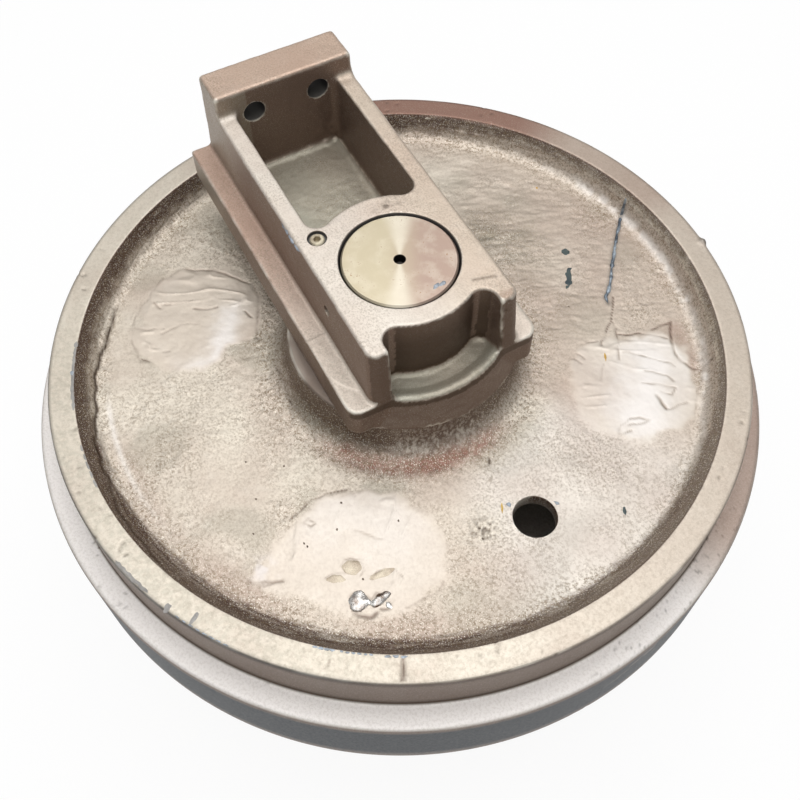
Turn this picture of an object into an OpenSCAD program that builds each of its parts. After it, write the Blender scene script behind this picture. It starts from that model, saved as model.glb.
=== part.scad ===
// Front idler of a tracked excavator, lying on its side with the wheel axis upright.
// The origin is the centre of the wheel, +Z runs along the shaft, and both brackets
// reach towards +X, where the yoke of the track adjuster is bolted on.
// Every piece is built for the upper side, and the lower side is its mirror image.

/* [Wheel] */
// Diameter of the tread on which the chain links roll
tread_d = 650; // [620:1:690]
// Diameter of the centre flange that keeps the chain in line
flange_d = 695; // [692:1:730]
// Width of the wheel across its two rim faces
wheel_w = 194; // [186:1:204]
// Width of the centre flange
flange_w = 86.6; // [76:0.1:96]
// Width of the machined ring on each rim face
rim_face_w = 24; // [18:1:30]
// Depth of the web below the rim face, next to the rim
dish_depth = 24; // [16:1:30]
// Depth of the web below the rim face, next to the hub
web_hub_depth = 21; // [14:1:28]
// How far the inner side of the rim slopes in from its face to the web
rim_slope = 12; // [6:1:18]
// Thickness of each web
web_t = 14; // [10:1:20]
// Thickness of the rim between the tread and the hollow inside
rim_t = 20; // [16:1:28]
// Diameter of the hub at its end face
hub_d = 208; // [196:1:220]
// How far the hub stands proud of the rim face
hub_proud = 17; // [10:1:22]
// How much wider the radius of the hub is at its foot
hub_flare = 5; // [2:0.5:10]
// Thickness of the hub tube inside the hollow of the wheel
hub_tube_t = 24; // [20:1:34]
// Diameter of the core hole in the upper web
core_hole_d = 38; // [28:1:50]
// Distance of the core hole from the axis
core_hole_reach = 209; // [180:1:235]
// Direction of the core hole, from +X towards +Y, in degrees
core_hole_angle = 185.6; // [150:0.1:210]

/* [Shaft and bearings] */
// Diameter of the shaft
shaft_d = 100; // [94:1:104]
// Depth of each shaft end below the face of its bracket
shaft_recess = 0.6; // [0:0.1:2]
// Diameter of the centre hole in each shaft end
centre_hole_d = 10; // [8:1:16]
// Depth of the centre hole, without its cone
centre_hole_depth = 9; // [6:1:20]
// Wall of the two bushings
bushing_wall = 6; // [4:0.5:8]
// Length of each bushing below its flange
bushing_l = 65; // [50:1:75]
// Thickness of the thrust flange on each bushing
bushing_flange_t = 5; // [3:0.5:7]
// How far that flange stands out past the bushing's wall
bushing_flange_step = 2; // [1:0.5:4]
// Extra radius of the oil space between the two bushings
oil_space_step = 4; // [2:0.5:8]

/* [Floating seals] */
// Height of each metal seal ring
seal_ring_h = 14.5; // [14:0.5:16]
// Height of the flange that carries the lapped face
seal_flange_t = 3.5; // [2.5:0.5:4]
// Overhang of that flange over the ramp of the ring
seal_lip = 4.4; // [3:0.1:5]
// Wall of a metal seal ring at its thin end
seal_tail_t = 2.2; // [1.8:0.1:4]
// Slope of the two ramps that hold a toric ring, in degrees
seal_ramp = 17; // [12:1:20]
// Thickness of a toric ring
toric_d = 9.5; // [8:0.1:10.5]
// Thickness of the ring that seals the shaft in its bracket
shaft_ring_d = 4; // [3:0.5:5]

/* [Bracket] */
// Distance from the shaft to the yoke end
yoke_reach = 265.7; // [250:0.1:290]
// Distance from the shaft to the front end of the guide rails
front_reach = 86.5; // [82:0.5:92]
// Width across the two guide rails
rail_w = 185; // [178:1:196]
// Height of the guide rails
rail_h = 33.6; // [28:0.1:40]
// Width of the block above the rails, at its top
block_w = 140; // [134:1:146]
// Height of the bracket from its boss face to its top face
bracket_h = 93.7; // [88:0.1:104]
// Draft of the cast walls, in degrees
draft = 1.4; // [0.5:0.1:2]
// How far the front of the block leans back from the rails to the top
front_lean = 7; // [3:0.5:9]
// Height of the head pad above the top face
pad_rise = 23; // [16:1:30]
// Thickness of the wall at the yoke end, which is also the length of the head pad
end_wall = 39; // [32:1:46]
// Wall between the bolt pocket and the sides of the block
pocket_wall = 17; // [14:0.5:22]
// Depth of the bolt pocket
pocket_depth = 75; // [60:1:76]
// Wall between the shaft bore and the bolt pocket
collar_wall = 24; // [20:0.5:28]
// Wall between the shaft bore and the front recess
front_wall = 20; // [16:0.5:22]
// Width of each lobe beside the front recess
lobe_w = 18; // [15:0.5:22]
// Radius of the inner corners of the pocket and of the recess
nook_r = 12; // [8:0.5:15]
// Diameter of the round boss at the seal
boss_d = 224; // [214:1:230]
// Diameter of the boss at its lip
boss_lip_d = 200; // [190:1:206]
// Height of that lip above the boss face
boss_lip_h = 30; // [26:0.5:33]
// Depth of the dished floor behind the lip
lip_depth = 5; // [2:0.5:8]
// Width of the lip
lip_w = 6; // [4:0.5:9]

/* [Fasteners] */
// Diameter of the two yoke bolt holes
bolt_hole_d = 22; // [18:0.5:26]
// Distance between the two yoke bolt holes
bolt_pitch = 66; // [56:1:74]
// Depth of the bolt holes' centres below the top face
bolt_drop = 4.7; // [2:0.1:12]
// Diameter of the lock pin that holds the shaft in the bracket
lock_pin_d = 10; // [8:0.5:14]
// Depth of the lock pin's ends below the sides of the block
lock_pin_inset = 6; // [3:0.5:10]
// Depth of the lock pin below the top face
lock_pin_drop = 28; // [24:0.5:36]
// Diameter of the oil plug
plug_d = 13.2; // [10:0.1:14]
// Length of the oil plug
plug_l = 11; // [8:0.5:16]
// Width across the flats of the socket in the oil plug
plug_socket_w = 6; // [5:0.5:7]
// Diameter of the recess around the oil plug
plug_recess_d = 16.5; // [15:0.1:18]
// Distance of the oil plug from the shaft axis
plug_reach = 74; // [72:0.5:76]
// Direction of the oil plug, from +X towards +Y, in degrees
plug_angle = 43.9; // [42:0.1:46]

/* [Hidden] */
$fn = 96;

// Overrun of every cut past the face that it opens
over = 2;

// Clearances: running fit on the shaft, thrust play, oil film between two lapped
// faces, seat of a rubber ring, play around pins and plugs, gap between hub and boss,
// room around the metal seal rings, above their flanges and behind them
run_fit = 0.05;
thrust_play = 0.3;
oil_film = 0.1;
rubber_seat = 0.05;
pin_fit = 0.05;
face_gap = 3;
seal_room = 1;
toric_room = 0.5;
seal_depth_room = 1.5;

// Radii and chamfers of the wheel
flange_edge_r = 4;
tread_root_r = 3;
rim_edge_r = 1.5;
rim_fillet_r = 14;
hub_fillet_r = 25;
hub_edge_r = 3;
hollow_r = 16;

// Radii and chamfers of the bracket
rail_end_r = 13;
rail_edge_r = 2.5;
rail_cove_r = 4;
block_corner_r = 10;
block_edge_r = 4;
pad_edge_r = 2.5;
pocket_floor_r = 8;
pocket_end_r = 10;
recess_floor_r = 6;
nook_bite = 0.02;
lip_edge_r = 2.4;
bore_chamfer = 1.7;
shaft_chamfer = 1.5;
pin_chamfer = 1;
socket_depth = 5;
plug_sink = 0.8;
plug_recess_depth = 3;
oil_drill_d = 6;
oil_groove_w = 4;
oil_groove_depth = 1;
oil_groove_count = 4;
seal_relief = 0.4;
seal_band_w = 5;
centre_cone_angle = 118;

// Wheel, worked out from the sizes above
tread_r = tread_d / 2;
flange_r = flange_d / 2;
rim_z = wheel_w / 2;
flange_z = flange_w / 2;
rim_inner_r = tread_r - rim_face_w;
rim_foot_r = rim_inner_r - rim_slope;
web_rim_z = rim_z - dish_depth;
web_hub_z = rim_z - web_hub_depth;
hub_r = hub_d / 2;
hub_foot_r = hub_r + hub_flare;
hub_z = rim_z + hub_proud;

// Shaft line: the radii from the shaft outwards
shaft_r = shaft_d / 2;
bore_r = shaft_r + run_fit;
bushing_r = shaft_r + bushing_wall;
oil_space_r = bushing_r + oil_space_step;
sleeve_r = bushing_r + bushing_flange_step;
hub_tube_r = bushing_r + hub_tube_t;

// Floating seal: heights run from the plane where the two lapped faces meet
seal_z = hub_z + face_gap / 2;
seat_h = seal_ring_h + seal_depth_room;
toric_r = toric_d / 2;
toric_h = seal_flange_t + toric_r + toric_room;
seal_inner_r = sleeve_r + seal_room;
toric_centre_r = ring_ramp_r(toric_h) + (toric_r + rubber_seat) / cos(seal_ramp);
seat_mid_r = toric_centre_r + (toric_r + rubber_seat) / cos(seal_ramp);
seal_face_r = ring_ramp_r(seal_flange_t) + seal_lip;
hub_seat_z = seal_z - seat_h;
bushing_face_z = hub_seat_z + bushing_flange_t;
bushing_end_z = hub_seat_z - bushing_l;

// Bracket: heights up from the boss face, distances out from the shaft
boss_z = hub_z + face_gap;
top_z = boss_z + bracket_h;
pad_z = top_z + pad_rise;
rail_z = boss_z + rail_h;
lip_z = boss_z + boss_lip_h;
recess_z = lip_z - lip_depth;
pocket_z = top_z - pocket_depth;
sleeve_z = bushing_face_z + thrust_play;
boss_r = boss_d / 2;
boss_lip_r = boss_lip_d / 2;
pocket_arc_r = bore_r + collar_wall;
recess_arc_r = bore_r + front_wall;
pocket_half_w = block_w / 2 - pocket_wall;
recess_half_w = block_w / 2 - lobe_w;
pocket_end_x = yoke_reach - end_wall;
shaft_end_z = top_z - shaft_recess;
lock_pin_z = top_z - lock_pin_drop;
lock_pin_l = block_w - 2 * lock_pin_inset;
shaft_groove_r = bore_r - shaft_ring_d - 2 * rubber_seat;
shaft_ring_z = (pocket_z + lock_pin_z) / 2;
plug_x = plug_reach * cos(plug_angle);
plug_y = plug_reach * sin(plug_angle);

// Radius of a metal seal ring's ramp at height h above its lapped face
function ring_ramp_r(h) = seal_inner_r + seal_tail_t + (seal_ring_h - h) * tan(seal_ramp);

// Radius of the seat's ramp in the hub and in the bracket, at the same height
function seat_r(h) = seat_mid_r - (h - toric_h) * tan(seal_ramp);

// Half width of the block's drafted side at height z
function block_side_y(z) = block_w / 2 + (top_z - z) * tan(draft);

// Points of a profile's upper half, from the rim inwards, closed by their mirror image
function with_mirror(half) = concat([for (i = [len(half) - 1 : -1 : 0]) [half[i].x, -half[i].y]], half);
function radii_with_mirror(half) = concat([for (i = [len(half) - 1 : -1 : 0]) half[i]], half);

// Unit vector, and the circle that rounds the corner v between the points p and q
function unit(v) = v / norm(v);
function corner_half_angle(p, v, q) = acos(unit(p - v) * unit(q - v)) / 2;
function corner_centre(p, v, q, r) =
    v + unit(unit(p - v) + unit(q - v)) * r / sin(corner_half_angle(p, v, q));
function corner_reach(p, v, q, r) = r / tan(corner_half_angle(p, v, q));

// Outline with round corners: each radius belongs to the point of the same index.
// The points run counter-clockwise. An outer corner is cut off between its two
// tangent points and its circle added; at an inner corner the circle is taken away.
module soft_polygon(points, radii) {
    count = len(points);
    function at(i) = points[(i + count) % count];
    function is_outer(i) = cross(at(i) - at(i - 1), at(i + 1) - at(i)) > 0;
    path = [for (i = [0 : count - 1])
        let (v = at(i), reach = radii[i] > 0 ? corner_reach(at(i - 1), v, at(i + 1), radii[i]) : 0)
        each radii[i] == 0 ? [v] :
            [v + unit(at(i - 1) - v) * reach, v + unit(at(i + 1) - v) * reach]];
    module corner_circles(outer) {
        for (i = [0 : count - 1])
            if (radii[i] > 0 && is_outer(i) == outer)
                translate(corner_centre(at(i - 1), at(i), at(i + 1), radii[i]))
                    circle(radii[i]);
    }
    difference() {
        union() {
            polygon(path);
            corner_circles(true);
        }
        corner_circles(false);
    }
}

// A profile drawn in Y and Z, carried along X from x0 to x1
module along_x(x0, x1) {
    translate([x0, 0, 0]) rotate([90, 0, 90]) linear_extrude(x1 - x0) children();
}

// A profile drawn in X and Z, carried along Y over the full width w
module along_y(w) {
    translate([0, w / 2, 0]) rotate([90, 0, 0]) linear_extrude(w) children();
}

// Round bar of diameter d between two points
module bar(a, b, d) {
    way = b - a;
    translate(a)
        rotate([0, acos(way.z / norm(way)), atan2(way.y, way.x)])
            cylinder(h = norm(way), d = d);
}

// The upper piece, or its mirror image below the wheel
module on_side(side) {
    mirror([0, 0, side == "lower" ? 1 : 0]) children();
}

// A piece of the floating seal drawn upwards from the sealing plane: the one in the
// bracket stands on it, the one in the hub hangs below it
module in_seat(seat) {
    translate([0, 0, seal_z]) mirror([0, 0, seat == "hub" ? 1 : 0]) children();
}

// The wheel casting

// Outline of the casting: flange, tread, rim face, dished web, hub, seal seat, bore
module wheel_profile() {
    soft_polygon(
        with_mirror([
            [flange_r, flange_z], [tread_r, flange_z], [tread_r, rim_z],
            [rim_inner_r, rim_z], [rim_foot_r, web_rim_z],
            [hub_foot_r, web_hub_z], [hub_r, hub_z],
            [seat_r(face_gap / 2), hub_z], [seat_r(seat_h), hub_seat_z],
            [bushing_r, hub_seat_z], [bushing_r, bushing_end_z],
            [oil_space_r, bushing_end_z - oil_space_step]
        ]),
        radii_with_mirror([
            flange_edge_r, tread_root_r, rim_edge_r,
            rim_edge_r, rim_fillet_r,
            hub_fillet_r, hub_edge_r,
            0, 0, 0, 0, 0
        ]));
}

// The ring-shaped hollow between the two webs
module hollow_profile() {
    soft_polygon(
        with_mirror([
            [tread_r - rim_t, web_rim_z - web_t],
            [hub_tube_r, web_hub_z - web_t]
        ]),
        radii_with_mirror([hollow_r, hollow_r]));
}

module core_hole() {
    rotate(core_hole_angle) translate([core_hole_reach, 0, 0])
        cylinder(h = rim_z, d = core_hole_d);
}

module idler_wheel() {
    color("#a8997f") difference() {
        rotate_extrude() wheel_profile();
        rotate_extrude() hollow_profile();
        core_hole();
    }
}

// The shaft

module centre_hole() {
    cone_h = centre_hole_d / 2 / tan(centre_cone_angle / 2);
    translate([0, 0, shaft_end_z - centre_hole_depth]) {
        cylinder(h = centre_hole_depth + over, d = centre_hole_d);
        mirror([0, 0, 1]) cylinder(h = cone_h, d1 = centre_hole_d, d2 = 0);
    }
}

module shaft_groove() {
    groove_h = shaft_ring_d + 2 * rubber_seat;
    translate([0, 0, shaft_ring_z - groove_h / 2]) difference() {
        cylinder(h = groove_h, r = shaft_r + over);
        translate([0, 0, -over]) cylinder(h = groove_h + 2 * over, r = shaft_groove_r);
    }
}

module lock_pin_hole() {
    hole_l = 2 * block_side_y(boss_z) + 2 * over;
    translate([0, hole_l / 2, lock_pin_z]) rotate([90, 0, 0])
        cylinder(h = hole_l, r = lock_pin_d / 2 + pin_fit);
}

module idler_shaft() {
    color("#b7a589") difference() {
        rotate_extrude() polygon(with_mirror([
            [shaft_r, shaft_end_z - shaft_chamfer],
            [shaft_r - shaft_chamfer, shaft_end_z],
            [0, shaft_end_z]
        ]));
        for (side = ["upper", "lower"]) on_side(side) {
            centre_hole();
            shaft_groove();
            lock_pin_hole();
        }
    }
}

// The brackets

// Cross-section of the guide rails with the coves that join them to the block
module rail_section() {
    half_w = rail_w / 2;
    wall_y = block_side_y(rail_z);
    soft_polygon([
        [-half_w, boss_z], [half_w, boss_z], [half_w, rail_z],
        [wall_y, rail_z], [wall_y - rail_cove_r, rail_z + 2 * rail_cove_r],
        [rail_cove_r - wall_y, rail_z + 2 * rail_cove_r], [-wall_y, rail_z],
        [-half_w, rail_z]
    ], [rail_edge_r, rail_edge_r, rail_edge_r, rail_cove_r, 0, 0, rail_cove_r, rail_edge_r]);
}

// Cross-section of the block or of the head pad, with drafted sides up to height z
module block_section(z, edge_r) {
    soft_polygon([
        [-block_side_y(boss_z), boss_z], [block_side_y(boss_z), boss_z],
        [block_side_y(z), z], [-block_side_y(z), z]
    ], [0, 0, edge_r, edge_r]);
}

// Plan of the guide rails, round at their front ends
module rail_plan() {
    half_w = rail_w / 2;
    soft_polygon([
        [-front_reach, -half_w], [yoke_reach, -half_w],
        [yoke_reach, half_w], [-front_reach, half_w]
    ], [rail_end_r, rail_edge_r, rail_edge_r, rail_end_r]);
}

// Side view of the block, whose front leans back
module block_side_view() {
    soft_polygon([
        [-front_reach, boss_z], [pocket_end_x, boss_z], [pocket_end_x, top_z],
        [front_lean - front_reach, top_z], [-front_reach, rail_z]
    ], [0, 0, 0, block_edge_r, 0]);
}

module pad_side_view() {
    soft_polygon([
        [pocket_end_x, boss_z], [yoke_reach, boss_z],
        [yoke_reach, pad_z], [pocket_end_x, pad_z]
    ], [0, pad_edge_r, pad_edge_r, pad_edge_r]);
}

// What is cut off to round one front corner of the block, along its leaning edge
module front_corner_cut(hand) {
    low = [block_corner_r - front_reach, hand * (block_side_y(rail_z) - block_corner_r), rail_z];
    high = [low.x + front_lean, hand * (block_w / 2 - block_corner_r), top_z];
    way = (high - low) / (top_z - rail_z);
    start = low - way * rail_cove_r;
    stop = high + way * over;
    difference() {
        leaning_prism(start, stop, 2 * block_corner_r, hand);
        bar(start - way * over, stop + way * over, 2 * block_corner_r);
    }
}

// Square prism outside the corner's axis, leaning with it
module leaning_prism(start, stop, w, hand) {
    way = stop - start;
    multmatrix([
        [1, 0, way.x / way.z, start.x],
        [0, 1, way.y / way.z, start.y],
        [0, 0, 1, start.z],
        [0, 0, 0, 1]
    ]) translate([-w, hand > 0 ? 0 : -w, 0]) cube([w, w, way.z]);
}

// The round boss around the seal, drafted up to the lip in front
module boss() {
    intersection() {
        rotate_extrude() soft_polygon([
            [sleeve_r, boss_z], [boss_r, boss_z], [boss_lip_r, lip_z], [sleeve_r, lip_z]
        ], [0, 0, lip_edge_r, 0]);
        translate([-boss_r, -rail_w / 2, boss_z]) cube([boss_r, rail_w, boss_lip_h]);
    }
}

// Sleeve inside the seal that takes the thrust of the bushing flange
module thrust_sleeve() {
    translate([0, 0, sleeve_z]) cylinder(h = pocket_z - sleeve_z, r = sleeve_r);
}

// Plan of a pocket that wraps round the shaft collar: an arc of radius arc_r about
// the shaft, a corner circle that runs into both the arc and the side wall, and the
// straight walls up to x = end_x. The circle overlaps the arc by nook_bite, so that
// the two cross and don't only touch.
module wrapped_plan(arc_r, half_w, end_x, end_r) {
    nook_y = half_w - nook_r;
    nook_x = sqrt((arc_r + nook_r - nook_bite) ^ 2 - nook_y ^ 2);
    difference() {
        union() {
            polygon([[0, 0], [nook_x, -nook_y], [nook_x, nook_y]]);
            for (hand = [-1, 1]) translate([nook_x, hand * nook_y]) circle(nook_r);
            soft_polygon([
                [nook_x, -half_w], [end_x, -half_w], [end_x, half_w], [nook_x, half_w]
            ], [0, end_r, end_r, 0]);
        }
        circle(arc_r);
    }
}

// Cove that keeps a pocket floor's fillet at the foot of the round collar
module collar_cove(arc_r, floor_z, r) {
    rotate_extrude() difference() {
        translate([arc_r - over, floor_z - over]) square([r + over, r + over]);
        translate([arc_r + r, floor_z + r]) circle(r);
    }
}

// The bolt pocket between the shaft collar and the yoke end
module bolt_pocket() {
    floor_half_w = pocket_half_w - pocket_depth * tan(draft);
    difference() {
        intersection() {
            translate([0, 0, pocket_z])
                linear_extrude(pad_z - pocket_z + over)
                    wrapped_plan(pocket_arc_r, pocket_half_w, pocket_end_x, pocket_end_r);
            along_x(0, pocket_end_x + over) soft_polygon([
                [-floor_half_w, pocket_z], [floor_half_w, pocket_z],
                [pocket_half_w, top_z], [pocket_half_w, pad_z + over],
                [-pocket_half_w, pad_z + over], [-pocket_half_w, top_z]
            ], [pocket_floor_r, pocket_floor_r, 0, 0, 0, 0]);
            along_y(block_w) soft_polygon([
                [0, pocket_z], [pocket_end_x, pocket_z],
                [pocket_end_x, pad_z + over], [0, pad_z + over]
            ], [0, pocket_floor_r, 0, 0]);
        }
        collar_cove(pocket_arc_r, pocket_z, pocket_floor_r);
    }
}

// The recess at the front, open towards the boss, with its dished floor behind the lip
module front_recess() {
    front_x = boss_r + over;
    difference() {
        union() {
            translate([0, 0, lip_z]) linear_extrude(bracket_h) front_plan(front_x);
            intersection() {
                translate([0, 0, recess_z]) linear_extrude(lip_depth + over) front_plan(front_x);
                rotate_extrude() soft_polygon([
                    [0, recess_z], [boss_lip_r - lip_w, recess_z],
                    [boss_lip_r - lip_w, lip_z + over], [0, lip_z + over]
                ], [0, lip_depth - lip_edge_r, 0, 0]);
            }
        }
        collar_cove(recess_arc_r, recess_z, recess_floor_r);
    }
}

module front_plan(front_x) {
    mirror([1, 0]) wrapped_plan(recess_arc_r, recess_half_w, front_x, 0);
}

// Stepped bore for the shaft, with a chamfer at the top face
module shaft_bore() {
    translate([0, 0, sleeve_z - over]) cylinder(h = top_z - sleeve_z + 2 * over, r = bore_r);
    translate([0, 0, top_z - bore_chamfer])
        cylinder(h = bore_chamfer + over, r1 = bore_r, r2 = bore_r + bore_chamfer + over);
}

// Ring-shaped seat of the floating seal, with its ramp
module seal_seat() {
    in_seat("bracket") rotate_extrude() polygon([
        [sleeve_r, face_gap / 2 - over], [seat_r(face_gap / 2 - over), face_gap / 2 - over],
        [seat_r(seat_h), seat_h], [sleeve_r, seat_h]
    ]);
}

module yoke_bolt_holes() {
    for (hand = [-1, 1])
        translate([pocket_end_x - over, hand * bolt_pitch / 2, top_z - bolt_drop])
            rotate([0, 90, 0]) cylinder(h = end_wall + 2 * over, d = bolt_hole_d);
}

// Recess and hole of the oil plug, and the slanting drilling that feeds the seal
module oil_way() {
    plug_hole_z = top_z - plug_sink - plug_l;
    seal_entry_r = (sleeve_r + toric_centre_r) / 2;
    entry = [seal_entry_r * cos(plug_angle), seal_entry_r * sin(plug_angle), seal_z + seat_h - over];
    translate([plug_x, plug_y, top_z - plug_recess_depth])
        cylinder(h = plug_recess_depth + over, d = plug_recess_d);
    translate([plug_x, plug_y, plug_hole_z])
        cylinder(h = plug_l + over, r = plug_d / 2 + pin_fit);
    bar([plug_x, plug_y, plug_hole_z + over], entry, oil_drill_d);
}

module bracket() {
    difference() {
        union() {
            intersection() {
                along_x(-front_reach, yoke_reach) rail_section();
                translate([0, 0, boss_z]) linear_extrude(bracket_h) rail_plan();
            }
            difference() {
                intersection() {
                    along_x(-front_reach, pocket_end_x) block_section(top_z, block_edge_r);
                    along_y(rail_w) block_side_view();
                }
                for (hand = [-1, 1]) front_corner_cut(hand);
            }
            intersection() {
                along_x(pocket_end_x, yoke_reach) block_section(pad_z, pad_edge_r);
                along_y(rail_w) pad_side_view();
            }
            boss();
            thrust_sleeve();
        }
        shaft_bore();
        seal_seat();
        bolt_pocket();
        front_recess();
        yoke_bolt_holes();
        lock_pin_hole();
        oil_way();
    }
}

module upper_bracket() { color("#b3a284") on_side("upper") bracket(); }
module lower_bracket() { color("#b3a284") on_side("lower") bracket(); }

// The bushings, with oil grooves across the thrust flange

module bushing() {
    difference() {
        rotate_extrude() polygon([
            [bore_r, bushing_end_z], [bushing_r, bushing_end_z], [bushing_r, hub_seat_z],
            [sleeve_r, hub_seat_z], [sleeve_r, bushing_face_z], [bore_r, bushing_face_z]
        ]);
        for (i = [0 : oil_groove_count - 1])
            rotate(i * 360 / oil_groove_count)
                translate([0, -oil_groove_w / 2, bushing_face_z - oil_groove_depth])
                    cube([sleeve_r + over, oil_groove_w, oil_groove_depth + over]);
    }
}

module upper_bushing() { color("#b08d57") on_side("upper") bushing(); }
module lower_bushing() { color("#b08d57") on_side("lower") bushing(); }

// The floating seals: two lapped metal rings face to face, each on its toric ring

module seal_ring() {
    half_film = oil_film / 2;
    ramp_top_r = ring_ramp_r(seal_flange_t);
    rotate_extrude() polygon([
        [seal_inner_r, half_film + seal_relief], [seal_face_r - seal_band_w, half_film],
        [seal_face_r, half_film], [seal_face_r, seal_flange_t],
        [ramp_top_r, seal_flange_t], [ring_ramp_r(seal_ring_h), seal_ring_h],
        [seal_inner_r, seal_ring_h]
    ]);
}

module toric_ring() {
    rotate_extrude() translate([toric_centre_r, toric_h]) circle(toric_r);
}

module upper_hub_seal_ring() { color("#8e9196") on_side("upper") in_seat("hub") seal_ring(); }
module upper_bracket_seal_ring() { color("#8e9196") on_side("upper") in_seat("bracket") seal_ring(); }
module lower_hub_seal_ring() { color("#8e9196") on_side("lower") in_seat("hub") seal_ring(); }
module lower_bracket_seal_ring() { color("#8e9196") on_side("lower") in_seat("bracket") seal_ring(); }

module upper_hub_toric_ring() { color("#23211f") on_side("upper") in_seat("hub") toric_ring(); }
module upper_bracket_toric_ring() { color("#23211f") on_side("upper") in_seat("bracket") toric_ring(); }
module lower_hub_toric_ring() { color("#23211f") on_side("lower") in_seat("hub") toric_ring(); }
module lower_bracket_toric_ring() { color("#23211f") on_side("lower") in_seat("bracket") toric_ring(); }

// The rubber ring between the shaft and its bracket

module shaft_ring() {
    rotate_extrude()
        translate([bore_r - rubber_seat - shaft_ring_d / 2, shaft_ring_z])
            circle(shaft_ring_d / 2);
}

module upper_shaft_ring() { color("#23211f") on_side("upper") shaft_ring(); }
module lower_shaft_ring() { color("#23211f") on_side("lower") shaft_ring(); }

// The lock pins

module lock_pin() {
    translate([0, lock_pin_l / 2, lock_pin_z]) rotate([90, 0, 0]) rotate_extrude() polygon([
        [0, 0], [lock_pin_d / 2 - pin_chamfer, 0], [lock_pin_d / 2, pin_chamfer],
        [lock_pin_d / 2, lock_pin_l - pin_chamfer],
        [lock_pin_d / 2 - pin_chamfer, lock_pin_l], [0, lock_pin_l]
    ]);
}

module upper_lock_pin() { color("#6f6a62") on_side("upper") lock_pin(); }
module lower_lock_pin() { color("#6f6a62") on_side("lower") lock_pin(); }

// The oil plugs, with a hexagon socket

module oil_plug() {
    face_z = top_z - plug_sink;
    translate([plug_x, plug_y, 0]) difference() {
        rotate_extrude() polygon([
            [0, face_z - plug_l], [plug_d / 2 - pin_chamfer, face_z - plug_l],
            [plug_d / 2, face_z - plug_l + pin_chamfer],
            [plug_d / 2, face_z - pin_chamfer], [plug_d / 2 - pin_chamfer, face_z],
            [0, face_z]
        ]);
        translate([0, 0, face_z - socket_depth])
            cylinder(h = socket_depth + over, r = plug_socket_w / sqrt(3), $fn = 6);
    }
}

module upper_oil_plug() { color("#8d8578") on_side("upper") oil_plug(); }
module lower_oil_plug() { color("#8d8578") on_side("lower") oil_plug(); }

idler_wheel();
idler_shaft();
upper_bracket();
lower_bracket();
upper_bushing();
lower_bushing();
upper_hub_seal_ring();
upper_bracket_seal_ring();
lower_hub_seal_ring();
lower_bracket_seal_ring();
upper_hub_toric_ring();
upper_bracket_toric_ring();
lower_hub_toric_ring();
lower_bracket_toric_ring();
upper_shaft_ring();
lower_shaft_ring();
upper_lock_pin();
lower_lock_pin();
upper_oil_plug();
lower_oil_plug();
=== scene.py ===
import logging
import math
from dataclasses import dataclass, field
from enum import Enum
from typing import Callable, Iterable, Sequence

import bpy
import numpy as np
from mathutils import Matrix, Vector


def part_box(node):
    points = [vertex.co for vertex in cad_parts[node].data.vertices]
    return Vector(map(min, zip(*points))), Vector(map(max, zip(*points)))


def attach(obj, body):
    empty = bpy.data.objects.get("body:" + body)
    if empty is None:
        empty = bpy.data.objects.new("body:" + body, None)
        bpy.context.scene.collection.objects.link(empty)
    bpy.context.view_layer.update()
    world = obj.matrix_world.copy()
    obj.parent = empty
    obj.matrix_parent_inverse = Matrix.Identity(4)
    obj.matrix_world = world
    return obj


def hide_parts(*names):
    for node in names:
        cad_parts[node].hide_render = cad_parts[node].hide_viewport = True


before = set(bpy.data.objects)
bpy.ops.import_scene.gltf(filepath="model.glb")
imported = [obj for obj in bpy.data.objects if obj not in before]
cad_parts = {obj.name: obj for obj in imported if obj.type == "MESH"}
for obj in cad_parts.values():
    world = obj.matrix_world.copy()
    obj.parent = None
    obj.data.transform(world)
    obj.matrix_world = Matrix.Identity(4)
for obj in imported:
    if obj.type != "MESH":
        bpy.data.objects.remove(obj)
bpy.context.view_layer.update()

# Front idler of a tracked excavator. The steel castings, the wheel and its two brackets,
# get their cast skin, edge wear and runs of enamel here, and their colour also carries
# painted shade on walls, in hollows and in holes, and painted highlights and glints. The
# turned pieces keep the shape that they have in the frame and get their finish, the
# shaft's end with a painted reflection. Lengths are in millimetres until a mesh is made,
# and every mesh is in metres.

Array = np.ndarray
Field = Callable[[Array, Array, Array], Array]
Ground = Callable[[Array, Array], Array]
Line = Sequence[tuple[float, float]]
Object = bpy.types.Object
Socket = bpy.types.NodeSocket
Tree = bpy.types.NodeTree

MM = 0.001
log = logging.getLogger("idler")


class Side(Enum):
    """The side of the wheel that a piece belongs to; its value is the sign of z there."""

    UPPER = 1
    LOWER = -1

    @property
    def word(self) -> str:
        """The side's name as the nodes spell it."""
        return self.name.lower()


# Numbers and fields


def smoothstep(low: float, high: float, value: Array) -> Array:
    """Ease from 0 to 1 between two values.

    Args:
        low: Value where the result leaves 0.
        high: Value where it reaches 1.
        value: The values to ease.

    Returns:
        3 t squared minus 2 t cubed, with t the clamped share of the way from low to high.
    """
    t = np.clip((value - low) / (high - low), 0.0, 1.0)
    return t * t * (3 - 2 * t)


def hill(distance: Array, width: float) -> Array:
    """Bell curve of that width: e to the power minus (distance / width) squared."""
    return np.exp(-((distance / width) ** 2))


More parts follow.
